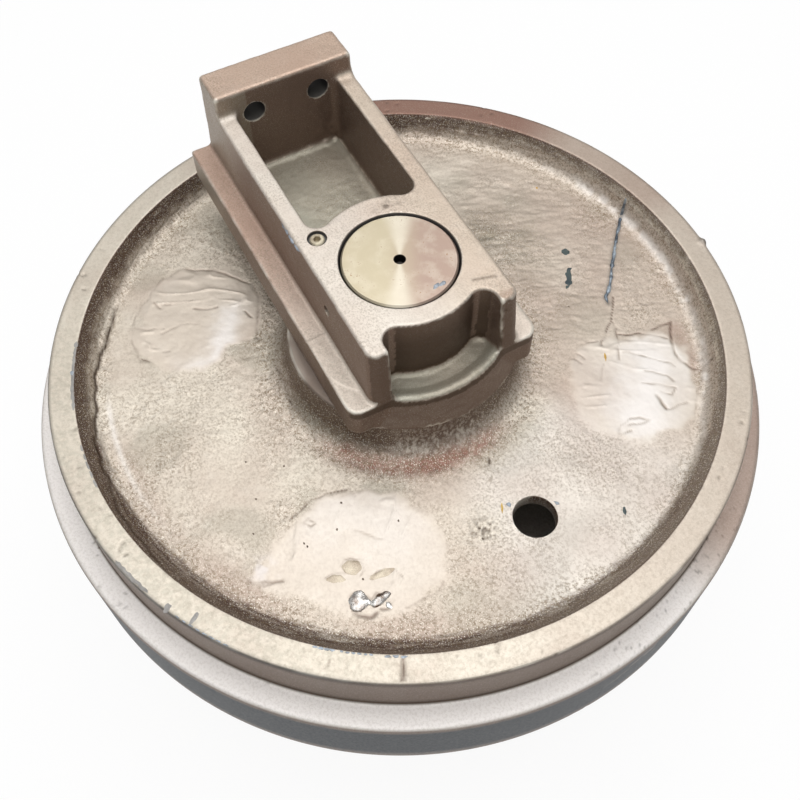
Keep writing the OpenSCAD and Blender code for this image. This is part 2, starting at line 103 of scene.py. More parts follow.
def lattice_random(cell: Array, seed: int) -> Array:
    """One number from -1 to 1 for each lattice point.

    Args:
        cell: Whole coordinates, one row of three for each point.
        seed: Chooses one of many such lattices.

    Returns:
        The three whole numbers multiplied by large odd constants, joined by exclusive or
        and mixed by two shifts, as a share of the largest 53-bit number.
    """
    odd = np.array([0x9E3779B185EBCA87, 0xC2B2AE3D27D4EB4F, 0x165667B19E3779F9], np.uint64)
    mixed = cell.astype(np.uint64) * odd
    h = mixed[:, 0] ^ mixed[:, 1] ^ mixed[:, 2] ^ np.uint64((seed * 0x27D4EB2F165667C5) % 2**64)
    h ^= h >> np.uint64(29)
    h *= np.uint64(0xBF58476D1CE4E5B9)
    h ^= h >> np.uint64(32)
    return (h >> np.uint64(11)).astype(float) / 2**52 - 1.0


# A turned lattice keeps its rows out of line with the faces of the castings.
TURN = np.array([[0.36, 0.48, -0.8], [-0.8, 0.6, 0.0], [0.48, 0.64, 0.6]])


def noise(points: Array, size: float, seed: int) -> Array:
    """Smooth random relief from about -1 to 1.

    Args:
        points: Positions, one row of three for each.
        size: Length of one lattice cell, about the width of a lump.
        seed: Chooses the lattice.

    Returns:
        The values of the eight lattice corners round each point, blended along each
        axis by the fifth-order curve 6 t^5 - 15 t^4 + 10 t^3.
    """
    q = points @ TURN / size
    base = np.floor(q)
    t = q - base
    t = t**3 * (t * (t * 6 - 15) + 10)
    base = base.astype(np.int64)
    total = np.zeros(len(points))
    for corner in np.ndindex(2, 2, 2):
        share = np.prod(np.where(np.array(corner), t, 1 - t), axis=1)
        total += share * lattice_random(base + np.array(corner), seed)
    return total


def round_union(a: Array, b: Array, r: Array | float) -> Array:
    """Field of two joined solids with a fillet in the corner between them.

    Args:
        a: Field of one solid.
        b: Field of the other.
        r: Radius of the fillet.

    Returns:
        max(r, min(a, b)) less the length of (r - a, r - b), each cut off below zero.
    """
    return np.maximum(r, np.minimum(a, b)) - np.hypot(np.maximum(r - a, 0), np.maximum(r - b, 0))


def round_cross(a: Array, b: Array, r: Array | float) -> Array:
    """Field of what two solids share, with the edge between them rounded to radius r."""
    return -round_union(-a, -b, r)


def chord_distance(x: Array, y: Array, a: Array, b: Array) -> Array:
    """Distance to a straight piece of line.

    Args:
        x: Where to measure, along X.
        y: The same, along Y.
        a: Start of the piece.
        b: Its end.

    Returns:
        Distance to the foot of the square to it, or to the nearer end beyond its ends.
    """
    way = b - a
    t = np.clip(((x - a[0]) * way[0] + (y - a[1]) * way[1]) / (way @ way), 0, 1)
    return np.hypot(x - a[0] - t * way[0], y - a[1] - t * way[1])


def loop_distance(x: Array, y: Array, loop: Array) -> Array:
    """Signed distance to a closed smooth loop, above zero inside it.

    Args:
        x: Where to measure, along X.
        y: The same, along Y.
        loop: Corner points of the loop.

    Returns:
        Distance to the closest chord of a Catmull-Rom curve through the points, with the
        sign from the even-odd count of chords that a ray along X crosses.
    """
    share = np.linspace(0, 1, 6, endpoint=False)[:, None]
    before, here, after, later = (np.roll(loop, k, axis=0)[:, None, :] for k in (1, 0, -1, -2))
    curve = here + 0.5 * share * (after - before + share * (
        2 * before - 5 * here + 4 * after - later + share * (3 * (here - after) + later - before)))
    curve = curve.reshape(-1, 2)
    nearest = np.full(x.shape, np.inf)
    inside = np.zeros(x.shape, bool)
    for a, b in zip(curve, np.roll(curve, -1, axis=0)):
        way = b - a
        nearest = np.minimum(nearest, chord_distance(x, y, a, b))
        crosses = (a[1] > y) != (b[1] > y)
        if way[1]:
            inside ^= crosses & (x < a[0] + way[0] * (y - a[1]) / way[1])
    return np.where(inside, nearest, -nearest)


def line_distance(x: Array, y: Array, line: Line) -> Array:
    """Distance to the closest point of an open line of straight pieces.

    Args:
        x: Where to measure, along X.
        y: The same, along Y.
        line: Points of the line.

    Returns:
        Smallest distance to one of the pieces.
    """
    nearest = np.full(x.shape, np.inf)
    for a, b in zip(np.array(line[:-1], float), np.array(line[1:], float)):
        nearest = np.minimum(nearest, chord_distance(x, y, a, b))
    return nearest


# Meshes


def make_mesh(name: str, points: Array, quads: Array, caps: Sequence[Array] = ()) -> Object:
    """Closed mesh object from corner points in millimetres.

    Args:
        name: Name of the piece.
        points: Corner points, one row of three for each.
        quads: Faces of four corners, one row for each.
        caps: Further faces of any number of corners.

    Returns:
        The object, at the origin, with its faces turned outwards by the sign of the
        volume that they close.
    """
    corners = [quads.reshape(-1)] + [np.asarray(cap) for cap in caps]
    counts = np.concatenate([np.full(len(quads), 4), [len(cap) for cap in caps]]).astype(np.int32)
    a, b, c, d = (points[quads[:, k]] for k in range(4))
    volume = np.einsum("ij,ij->i", a, np.cross(b, c) + np.cross(c, d)).sum()
    for cap in caps:
        fan = points[np.asarray(cap)]
        apex = np.tile(fan[0], (len(fan) - 2, 1))
        volume += np.einsum("ij,ij->i", np.cross(fan[1:-1], fan[2:]), apex).sum()
    if volume < 0:
        corners = [quads[:, ::-1].reshape(-1)] + [np.asarray(cap)[::-1] for cap in caps]
    mesh = bpy.data.meshes.new(name)
    mesh.vertices.add(len(points))
    mesh.vertices.foreach_set("co", (points * MM).astype(np.float32).reshape(-1))
    flat = np.concatenate(corners).astype(np.int32)
    mesh.loops.add(len(flat))
    mesh.loops.foreach_set("vertex_index", flat)
    mesh.polygons.add(len(counts))
    starts = np.concatenate([[0], np.cumsum(counts)[:-1]]).astype(np.int32)
    mesh.polygons.foreach_set("loop_start", starts)
    mesh.polygons.foreach_set("loop_total", counts)
    mesh.update(calc_edges=True)
    mesh.validate()
    obj = bpy.data.objects.new(name, mesh)
    bpy.context.scene.collection.objects.link(obj)
    return obj


def grid_quads(rows: int, columns: int, close_rows: bool = True) -> Array:
    """Faces of a grid of points whose columns close round.

    Args:
        rows: Number of rows.
        columns: Number of points in a row.
        close_rows: Whether the last row joins the first.

    Returns:
        Four point numbers for each face, from its first corner round.
    """
    i = np.arange(rows if close_rows else rows - 1)[:, None]
    j = np.arange(columns)[None, :]
    up, over = (i + 1) % rows, (j + 1) % columns
    row, next_row = i * columns, up * columns
    return np.stack([row + j, row + over, next_row + over, next_row + j], -1).reshape(-1, 4)


def turned_cutter(name: str, profile: Line, segments: int, start: Sequence[float] = (0, 0, 0),
                  axis: int = 2, closed: bool = False) -> Object:
    """Solid of revolution that a hole is cut with.

    Args:
        name: Name of the cutter.
        profile: Radius and height of each corner, in order.
        segments: Number of steps round.
        start: Where its heights are measured from.
        axis: Which axis it turns about.
        closed: Whether the profile closes on itself, as for a groove.

    Returns:
        The profile turned about the axis. An open profile gets a flat cap at each end.
    """
    outline = np.array(profile, float)
    angle = np.linspace(0, 2 * math.pi, segments, endpoint=False)
    ring = np.stack([np.outer(outline[:, 0], np.cos(angle)), np.outer(outline[:, 0], np.sin(angle)),
                     np.repeat(outline[:, 1:], segments, axis=1)], -1).reshape(-1, 3)
    points = np.roll(ring, axis - 2, axis=1) + np.array(start, float)
    last = (len(outline) - 1) * segments
    caps = [] if closed else [np.arange(segments)[::-1], np.arange(last, last + segments)]
    return make_mesh(name, points, grid_quads(len(outline), segments, closed), caps)


def cut(obj: Object, cutters: Iterable[Object]) -> None:
    """Cut holes into a piece and drop the cutters.

    Args:
        obj: The piece; its mesh is replaced by what is left of it.
        cutters: Closed solids, each the shape of one hole.
    """
    cutters = list(cutters)
    for cutter in cutters:
        modifier = obj.modifiers.new(cutter.name, "BOOLEAN")
        modifier.operation = "DIFFERENCE"
        modifier.solver = "MANIFOLD"
        modifier.object = cutter
    scene_graph = bpy.context.evaluated_depsgraph_get()
    left = bpy.data.meshes.new_from_object(obj.evaluated_get(scene_graph))
    obj.modifiers.clear()
    obj.data = left
    left.name = obj.name
    for cutter in cutters:
        bpy.data.objects.remove(cutter)


def positions(mesh: bpy.types.Mesh) -> Array:
    """Corner points of a mesh in millimetres, one row of three for each."""
    flat = np.empty(len(mesh.vertices) * 3, np.float32)
    mesh.vertices.foreach_get("co", flat)
    return flat.reshape(-1, 3).astype(float) / MM


def normals(mesh: bpy.types.Mesh) -> Array:
    """Outward direction at each corner point."""
    flat = np.empty(len(mesh.vertices) * 3, np.float32)
    mesh.vertex_normals.foreach_get("vector", flat)
    return flat.reshape(-1, 3).astype(float)


def bulge(mesh: bpy.types.Mesh, rounds: int) -> Array:
    """How far each corner point stands out of its neighbours, as a share of their spacing.

    Args:
        mesh: The mesh.
        rounds: How often the result is averaged with the neighbours.

    Returns:
        Above zero on edges and peaks, below zero in corners and pits: the offset from
        the mean of the neighbours along the normal, over the mean edge length.
    """
    pairs = np.empty(len(mesh.edges) * 2, np.int32)
    mesh.edges.foreach_get("vertices", pairs)
    a, b = pairs.reshape(-1, 2).T
    count = len(mesh.vertices)
    degree = np.maximum(np.bincount(a, minlength=count) + np.bincount(b, minlength=count), 1)

    def neighbour_mean(value: Array) -> Array:
        """Mean of a value over the points that share an edge with each point."""
        return (np.bincount(a, value[b], count) + np.bincount(b, value[a], count)) / degree

    p, n = positions(mesh), normals(mesh)
    offset = p - np.stack([neighbour_mean(p[:, k]) for k in range(3)], -1)
    length = np.linalg.norm(p[a] - p[b], axis=1)
    spacing = (np.bincount(a, length, count) + np.bincount(b, length, count)) / degree
    stands = np.einsum("ij,ij->i", offset, n) / np.maximum(spacing, 1e-6)
    for _ in range(rounds):
        stands = (stands + neighbour_mean(stands)) / 2
    return stands


def keep_in_box(points: Array, node: str) -> Array:
    """Points in millimetres, held inside the box of the CAD node that they stand for."""
    low, high = (np.array(corner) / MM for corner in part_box(node))
    return np.clip(points, low, high)


def set_masks(mesh: bpy.types.Mesh, masks: dict[str, Array]) -> None:
    """Store numbers from 0 to 1 at the corner points, for the materials to read."""
    for name, value in masks.items():
        layer = mesh.attributes.new(name, "FLOAT", "POINT")
        layer.data.foreach_set("value", np.clip(value, 0, 1).astype(np.float32))


def finish_mesh(obj: Object, sharp_deg: float) -> None:
    """Shade a piece smooth, with a crisp edge wherever it turns more than that angle."""
    obj.data.shade_smooth()
    obj.data.set_sharp_from_angle(angle=math.radians(sharp_deg))


def rounded_outline(corners: Sequence[tuple[float, float, float, float]]) -> Array:
    """Closed outline with round corners, sampled along its way.

    Args:
        corners: Radius from the axis, height, radius of the corner and the spacing of
            the points on the way to the next corner.

    Returns:
        Points of the outline. Each corner is a circular arc between its two tangent
        points, and each straight is divided evenly.
    """
    count = len(corners)
    at = [np.array(corner[:2], float) for corner in corners]
    pieces = []
    for i, (_, _, radius, _) in enumerate(corners):
        to_last = at[i - 1] - at[i]
        to_next = at[(i + 1) % count] - at[i]
        to_last, to_next = to_last / np.linalg.norm(to_last), to_next / np.linalg.norm(to_next)
        half = math.acos(np.clip(to_last @ to_next, -1, 1)) / 2
        if radius <= 0:
            pieces.append(at[i][None, :])
            continue
        bisector = (to_last + to_next) / np.linalg.norm(to_last + to_next)
        centre = at[i] + bisector * radius / math.sin(half)
        first, last = (at[i] + way * radius / math.tan(half) - centre for way in (to_last, to_next))
        turn = math.pi - 2 * half
        step = max(1.2, min(corners[i][3], corners[i - 1][3], radius * 0.5))
        share = np.linspace(0, 1, max(3, math.ceil(turn * radius / step) + 1))[:, None]
        arc = np.sin((1 - share) * turn) * first + np.sin(share * turn) * last
        pieces.append(centre + arc / math.sin(turn))
    outline = []
    for i, arc in enumerate(pieces):
        start, stop = arc[-1], pieces[(i + 1) % count][0]
        parts = max(1, round(np.linalg.norm(stop - start) / corners[i][3]))
        share = np.linspace(0, 1, parts, endpoint=False)[1:, None]
        outline += [arc, start + share * (stop - start)]
    return np.concatenate(outline)


def outline_normals(outline: Array) -> Array:
    """Outward directions of a closed outline.

    Args:
        outline: Its points, one row of two for each.

    Returns:
        At each point, the direction square to the chord between its two neighbours.
    """
    chord = np.roll(outline, -1, axis=0) - np.roll(outline, 1, axis=0)
    chord /= np.linalg.norm(chord, axis=1)[:, None]
    x, y = outline.T
    clockwise = np.sum(x * np.roll(y, -1) - y * np.roll(x, -1)) < 0
    square = np.stack([chord[:, 1], -chord[:, 0]], -1)
    return -square if clockwise else square


def surface_net(solid: Field, low: Array, high: Array, step: float) -> tuple[Array, Array]:
    """Mesh of the surface where a solid's field is zero.

    Args:
        solid: Signed distance for arrays of x, y and z, below zero in the solid.
        low: Lowest corner of the space that is searched.
        high: Highest corner.
        step: Size of a grid cell.

    Returns:
        The points and the faces. Each cell that the surface crosses gets one point, the
        mean of the crossings on its edges, and each crossed edge gives one face between
        the four cells round it. The points are then moved along the field's slope until
        they lie on the surface.
    """
    axes = [np.arange(a, b + step, step) for a, b in zip(low, high)]
    value = solid(*np.meshgrid(*axes, indexing="ij"))
    shape = np.array(value.shape)
    sums = np.zeros((value.size, 3))
    hits = np.zeros(value.size)
    faces = []
    for axis in range(3):
        second, third = (axis + 1) % 3, (axis + 2) % 3
        a = np.moveaxis(value, axis, 0)[:-1]
        b = np.moveaxis(value, axis, 0)[1:]
        found = np.argwhere((a < 0) != (b < 0))
        order = [axis] + [k for k in range(3) if k != axis]
        index = np.empty_like(found)
        index[:, order] = found
        va, vb = a[tuple(found.T)], b[tuple(found.T)]
        point = index.astype(float)
        point[:, axis] += va / (va - vb)
        ring = []
        for back_second, back_third in ((1, 1), (0, 1), (0, 0), (1, 0)):
            cell = index.copy()
            cell[:, second] -= back_second
            cell[:, third] -= back_third
            flat = np.ravel_multi_index(tuple(cell.T), shape)
            ring.append(flat)
            for k in range(3):
                sums[:, k] += np.bincount(flat, point[:, k], value.size)
            hits += np.bincount(flat, minlength=value.size)
        quads = np.stack(ring, -1)
        faces.append(np.where((va < 0)[:, None], quads, quads[:, ::-1]))
    used = np.flatnonzero(hits)
    number = np.zeros(value.size, np.int64)
    number[used] = np.arange(len(used))
    points = sums[used] / hits[used][:, None] * step + low
    for _ in range(3):
        distance, slope = solid(*points.T), field_slope(solid, points)
        points = points - np.clip(distance, -step, step)[:, None] * slope
    return points, number[np.concatenate(faces)]


def field_slope(solid: Field, points: Array) -> Array:
    """Direction in which a solid's field grows.

    Args:
        solid: The field, for arrays of x, y and z.
        points: Where to look, one row of three for each.

    Returns:
        Unit directions, from the field's differences over 0.1 mm along each axis.
    """
    small = 0.05
    slope = np.stack([solid(*(points + small * step).T) - solid(*(points - small * step).T)
                      for step in np.eye(3)], -1)
    return slope / np.maximum(np.linalg.norm(slope, axis=1), 1e-9)[:, None]


# Finishes


def linear(hex_colour: str) -> tuple[float, float, float, float]:
    """Linear colour of an sRGB hex value such as "c8bda6"."""
    parts = [int(hex_colour[k:k + 2], 16) / 255 for k in (0, 2, 4)]
    return (*(c / 12.92 if c <= 0.04045 else ((c + 0.055) / 1.055) ** 2.4 for c in parts), 1.0)


def add(tree: Tree, kind: str, inputs: dict[int | str, object] | None = None, out: int = 0,
        **settings: object) -> Socket:
    """Add one node to a tree.

    Args:
        tree: The tree.
        kind: Type of the node, without the word ShaderNode.
        inputs: A socket to link, or a value to set, for each input by place or name.
        out: Which output is returned.
        settings: Properties of the node.

    Returns:
        The chosen output, or the node's first input where it has no output.
    """
    node = tree.nodes.new("ShaderNode" + kind)
    for key, value in settings.items():
        setattr(node, key, value)
    for key, value in (inputs or {}).items():
        if isinstance(value, Socket):
            tree.links.new(value, node.inputs[key])
        else:
            node.inputs[key].default_value = value
    return node.outputs[out] if node.outputs else node.inputs[0]


def new_material(name: str) -> tuple[bpy.types.Material, Tree]:
    """Make a material.

    Args:
        name: Its name.

    Returns:
        The material and its node tree, which is still empty.
    """
    material = bpy.data.materials.new(name)
    material.use_nodes = True
    material.node_tree.nodes.clear()
    return material, material.node_tree


def close_material(tree: Tree, colour: Socket, metallic: float | Socket, rough: Socket, height: Socket,
                   height_mm: float) -> None:
    """End a material in a principled shader with a relief.

    Args:
        tree: The material's node tree.
        colour: Its colour.
        metallic: How metallic it is.
        rough: Its roughness.
        height: The relief, from 0 to 1.
        height_mm: How proud a height of 1 stands.
    """
    bump = add(tree, "Bump", {"Strength": 1.0, "Distance": height_mm * MM, "Height": height})
    shader = add(tree, "BsdfPrincipled", {"Base Color": colour, "Metallic": metallic,
                                          "Roughness": rough, "Normal": bump})
    add(tree, "OutputMaterial", {0: shader})


# Settings that the commonest nodes share: an eased range, a mix of colours, clamped sums.
EASED = {"interpolation_type": "SMOOTHSTEP"}
COLOURS = {"data_type": "RGBA", "out": 2}
PRODUCT = {"operation": "MULTIPLY", "use_clamp": True}
SUM = {"operation": "ADD", "use_clamp": True}

# Values from 0 to 1 that each casting carries at its corner points for the enamel to read.
# The wall mask is painted shade on upright faces. The mask of dark stains also holds painted shade in
# hollows, the near-black mask holds painted shade in holes besides bare steel, and the masks of edge wear
# and of pale filler also hold painted glints and highlights.
MASKS = ("wall", "grime_and_shade", "wear_and_glint", "turned", "smear", "pale", "grit", "rosy", "slate", "raw")


@dataclass(frozen=True)
class CastEnamel:
    """Champagne-bronze metallic enamel, sprayed thinly over shot-blasted steel casting.

    Level faces are cream, and upright walls are painted brown as the shade that falls on
    them. Blasting grit leaves a fine speckle, and its brightest grains are painted glints.
    Turned faces are smoother and mirror more. The pale tone is partly filler under the
    enamel and partly painted highlight, the dark tone partly stains and partly painted
    shade in hollows, and holes are painted near black as shade.
    """

    name: str
    level: str = "dcd3c4"
    # The upright colour is painted shade on walls. The dark stain colour is also painted shade in hollows,
    # bright also makes painted glints, and the near-black colour is also painted shade in holes.
    upright: str = "573f36"
    rosy: str = "90695b"
    mossy: str = "8f9180"
    pale: str = "f7f2ee"
    dirt_and_shade_tone: str = "4a3a2c"
    grain: str = "85735c"
    bright: str = "f2ecdf"
    raw: str = "1f262c"
    flake_share: float = 0.55
    turned_share: float = 0.6
    raw_share: float = 0.06
    rough: float = 0.46
    turned_rough: float = 0.40
    pale_flakes: float = 0.15
    smear_rough: float = 0.40
    grit_mm: float = 2.4
    grit_height_mm: float = 0.30
    grit_share: float = 0.8

    def material(self) -> bpy.types.Material:
        """Build the material.

        Returns:
            A principled shader whose colour runs from cream to brown with the masks
            that each piece carries at its corner points.
        """
        material, tree = new_material(self.name)
        place = add(tree, "TexCoord", out=3)
        wall, grime_and_shade, wear_and_glint, turned, smear, pale, gritty, rosy, slate, raw = (
            add(tree, "Attribute", out=2, attribute_name=name) for name in MASKS)
        lumps = ((90, 4, 0.55), (22, 4, 0.6), (self.grit_mm, 3, 0.7), (self.grit_mm * 0.45, 1, 0.55))
        blotch, cloud, grit, fine = (
            add(tree, "TexNoise", {"Vector": place, "Scale": 1 / (width * MM), "Detail": detail,
                                   "Roughness": rough}) for width, detail, rough in lumps)
        ranges = ((blotch, 0.45, 0.72, 0.2), (cloud, 0.48, 0.75, 0.3), (grit, 0.3, 0.8, 0.14),
                  (grit, 0.44, 0.64, self.grit_share), (fine, 0.54, 0.72, self.grit_share))
        blotches, clouds, matted, *grains = (
            add(tree, "MapRange", {0: value, 1: low, 2: high, 4: top}, **EASED)
            for value, low, high, top in ranges)
        # The dark spots are the grit's own speckle; the bright glints on it are painted glints.
        spots, glints = (add(tree, "Math", {0: share, 1: gritty}, **PRODUCT) for share in grains)
        colour = linear(self.level)
        for share, tone in ((blotches, self.rosy), (clouds, self.bright), (slate, self.mossy),
                            (pale, self.pale), (rosy, self.rosy), (wall, self.upright),
                            (spots, self.grain), (glints, self.bright), (grime_and_shade, self.dirt_and_shade_tone),
                            (wear_and_glint, self.bright), (raw, self.raw)):
            colour = add(tree, "Mix", {0: share, 6: colour, 7: linear(tone)}, **COLOURS)
        rough, flakes = self.rough, self.flake_share
        for share, value in ((turned, self.turned_rough), (smear, self.smear_rough)):
            rough = add(tree, "Mix", {0: share, 2: rough, 3: value})
        for share, value in ((turned, self.turned_share), (pale, self.pale_flakes), (raw, self.raw_share)):
            flakes = add(tree, "Mix", {0: share, 2: flakes, 3: value})
        rough = add(tree, "Math", {0: rough, 1: matted}, **SUM)
        coarse = add(tree, "Math", {0: gritty, 1: 0.12}, **SUM)
        height = add(tree, "Math", {0: grit, 1: coarse}, **PRODUCT)
        close_material(tree, colour, flakes, rough, height, self.grit_height_mm)
        return material


@dataclass(frozen=True)
class PlainMetal:
    """A metal or rubber of one kind, with its own grain and a faint cloud of wear."""

    name: str
    colour: str
    shade: str
    metallic: float
    rough: float
    grain_mm: float
    height_mm: float

    def material(self) -> bpy.types.Material:
        """Build the material.

        Returns:
            A principled shader whose colour clouds between colour and shade, with a
            relief of that grain.
        """
        material, tree = new_material(self.name)
        place = add(tree, "TexCoord", out=3)
        cloud, grit = (
            add(tree, "TexNoise", {"Vector": place, "Scale": 1 / (width * MM), "Detail": detail,
                                   "Roughness": 0.55})
            for width, detail in ((self.grain_mm * 9, 4), (self.grain_mm, 3)))
        clouds, specks, matted = (
            add(tree, "MapRange", {0: value, 1: low, 2: high, 4: top}, **EASED)
            for value, low, high, top in ((cloud, 0.35, 0.7, 1.0), (grit, 0.55, 0.75, 0.4),
                                          (grit, 0.3, 0.8, 0.12)))
        colour = linear(self.colour)
        for share in (clouds, specks):
            colour = add(tree, "Mix", {0: share, 6: colour, 7: linear(self.shade)}, **COLOURS)
        rough = add(tree, "Math", {0: self.rough, 1: matted}, **SUM)
        close_material(tree, colour, self.metallic, rough, grit, self.height_mm)
        return material


@dataclass(frozen=True)
class FacedShaft:
    """Lathe-faced shaft end under a thin coat of enamel, with a painted reflection that is gold on one half
    and pink on the other.
    """

    name: str
    gold: str = "cabea3"
    pink: str = "b39c8e"
    shine: str = "eee7d6"
    rust: str = "9a6a45"
    dark: str = "302c29"
    metallic: float = 0.75
    rough: float = 0.36
    hole_mm: float = 5.4
    ring_mm: float = 1.1
    height_mm: float = 0.05
    shine_deg: float = 152.0

    def material(self) -> bpy.types.Material:
        """Build the material.

        Returns:
            A principled shader. Its colour turns from gold to pink along the direction
            of shine_deg turned by a quarter, a painted reflection, with a painted highlight in
            the shape of the bright bow tie between the two that lathe rings mirror, faint
            rings by the distance from the axis, a few rust specks and a centre hole painted
            dark as shade.
        """
        material, tree = new_material(self.name)
        place = add(tree, "TexCoord", out=3)
        way = math.radians(self.shine_deg + 90)
        direction = (math.cos(way) / MM, math.sin(way) / MM, 0)
        over = add(tree, "VectorMath", {0: place, 1: direction}, out=1, operation="DOT_PRODUCT")
        flat = add(tree, "VectorMath", {0: place, 1: (1 / MM, 1 / MM, 0)}, operation="MULTIPLY")
        radius = add(tree, "VectorMath", {0: flat}, out=1, operation="LENGTH")
        cloud, grit = (
            add(tree, "TexNoise", {"Vector": place, "Scale": 1 / (width * MM), "Detail": detail,
                                   "Roughness": 0.55}) for width, detail in ((16, 4), (1.6, 3)))
        turn = add(tree, "Math", {0: radius, 1: self.ring_mm}, operation="DIVIDE")
        turns = add(tree, "TexNoise", {"W": turn, "Detail": 1.0, "Scale": 1.0}, noise_dimensions="1D")
        aside = add(tree, "Math", {0: over}, operation="ABSOLUTE")
        slant = add(tree, "Math", {0: aside, 1: radius}, operation="DIVIDE")
        pink_reflection_half, clouds, streak, rusty, rust_patch, hole, matted = (
            add(tree, "MapRange", {0: value, 1: low, 2: high, 4: top}, **EASED)
            for value, low, high, top in (
                (over, -16, 24, 1.0), (cloud, 0.42, 0.7, 0.25), (slant, 0.40, 0.04, 0.55),
                (grit, 0.62, 0.7, 0.8), (cloud, 0.5, 0.62, 1.0),
                (radius, self.hole_mm + 0.3, self.hole_mm - 0.3, 1.0), (turns, 0.3, 0.7, 0.08)))
        specks = add(tree, "Math", {0: rusty, 1: rust_patch}, **PRODUCT)
        colour = linear(self.gold)
        for share, tone in ((pink_reflection_half, self.pink), (clouds, self.shine), (streak, self.shine),
                            (specks, self.rust), (hole, self.dark)):
            colour = add(tree, "Mix", {0: share, 6: colour, 7: linear(tone)}, **COLOURS)
        rough = add(tree, "Math", {0: self.rough, 1: matted}, **SUM)
        rings, bits = (add(tree, "Math", {0: value, 1: share}, **PRODUCT)
                       for value, share in ((turns, 0.5), (grit, 0.4)))
        height = add(tree, "Math", {0: rings, 1: bits}, **SUM)
        close_material(tree, colour, self.metallic, rough, height, self.height_mm)
        return material


WHEEL_ENAMEL = CastEnamel("bronze_enamel_on_cast_wheel")
BRACKET_ENAMEL = CastEnamel("bronze_enamel_on_cast_bracket", grit_mm=1.9, grit_share=0.45, level="dfd5c4",
                            upright="7c6558", rosy="b68e79")
SHAFT_STEEL = FacedShaft("faced_shaft_steel_thin_enamel")

# Overspray leaves the plugs pale and half matt, and blackening leaves the pins dark. Cast
# bronze is brownish gold, lapped iron a sharp grey mirror, and moulded nitrile nearly
# black and matt. Scraped steel is dark blue, with pale specks that are painted glints.
# A chip on an edge bares bright bluish steel, one on the rim's face a flat grey scale,
# and one in the web a dark scale. Weld spatter is silver with brown hollows, and
# blistered enamel stays clear and glossy. Baked-on dust and marking crayon are dull.
PLUG_STEEL = PlainMetal("oversprayed_plug_steel", "e2d8bf", "a79a84", 0.5, 0.4, 1.2, 0.03)
PIN_STEEL = PlainMetal("blackened_pin_steel", "5a554e", "3a3631", 0.8, 0.5, 1.2, 0.03)
BRONZE = PlainMetal("cast_tin_bronze", "b08d57", "8d6c3f", 1.0, 0.35, 1.5, 0.03)
SEAL_IRON = PlainMetal("lapped_chilled_iron", "8e9196", "6f7276", 1.0, 0.28, 1.2, 0.02)
RUBBER = PlainMetal("moulded_nitrile_rubber", "23211f", "2e2c2a", 0.0, 0.62, 1.4, 0.05)
GOUGE_STEEL = PlainMetal("scraped_blue_steel", "47505b", "b3bfca", 0.5, 0.3, 1.3, 0.25)
BLUE_CHIP = PlainMetal("bright_steel_in_chipped_edge", "a9b2bd", "7f8386", 0.4, 0.35, 0.9, 0.2)
GREY_CHIP = PlainMetal("scale_where_enamel_came_off", "a9a6a2", "8b8885", 0.3, 0.5, 1.8, 0.15)
DARK_CHIP = PlainMetal("dark_scale_in_web_chips", "3c474c", "57625f", 0.3, 0.5, 1.4, 0.2)
SLAG = PlainMetal("silvery_weld_spatter", "ecebe8", "7c6656", 0.8, 0.24, 1.1, 0.3)
BLISTER = PlainMetal("clear_enamel_blister", "d6c9b3", "ab9a86", 0.2, 0.25, 1.4, 0.2)
SPECK = PlainMetal("baked_on_dust_specks", "5f5348", "7d6e5f", 0.0, 0.7, 1.0, 0.1)
CRAYON = PlainMetal("yellow_marking_crayon", "d8b45c", "b98f45", 0.0, 0.7, 1.5, 0.1)


# The wheel


@dataclass(frozen=True)
class Smear:
    """A stretch of web where filler was smeared flat before the enamel went on; its whitest line carries a
    painted highlight.
    """

    edge: tuple[tuple[float, float], ...]
    feather: float
    fold_deg: float
    base: float
    whitest: tuple[tuple[float, float], ...]
    reach: float
    peak: float


@dataclass(frozen=True)
class Crease:
    """A narrow groove in the web's skin: its line seen from above, its depth and width."""

    line: tuple[tuple[float, float], ...]
    depth: float
    width: float


SMEARS = (
    Smear(((187, 176), (194, 158), (190, 128), (160, 99), (121, 94), (90, 110), (72, 150),
           (78, 190), (105, 215), (136, 219), (166, 200)), 5.0, 62,
          0.02, ((74, 186), (78, 160), (98, 140), (118, 120)), 15, 0.75),
    Smear(((-81, -146), (-78, -172), (-88, -212), (-106, -236), (-150, -240), (-170, -227),
           (-194, -204), (-200, -165), (-183, -128), (-150, -116), (-112, -124)), 6.0, 62,
          0.15, ((-122, -214), (-140, -190), (-155, -175), (-170, -160)), 32, 0.85),
    Smear(((-111, 166), (-102, 136), (-109, 109), (-128, 74), (-160, 56), (-196, 60), (-221, 80),
           (-228, 105), (-222, 150), (-196, 178), (-150, 214), (-124, 192)), 5.0, 140,
          0.1, ((-120, 128), (-140, 104), (-160, 100)), 36, 0.4),
)

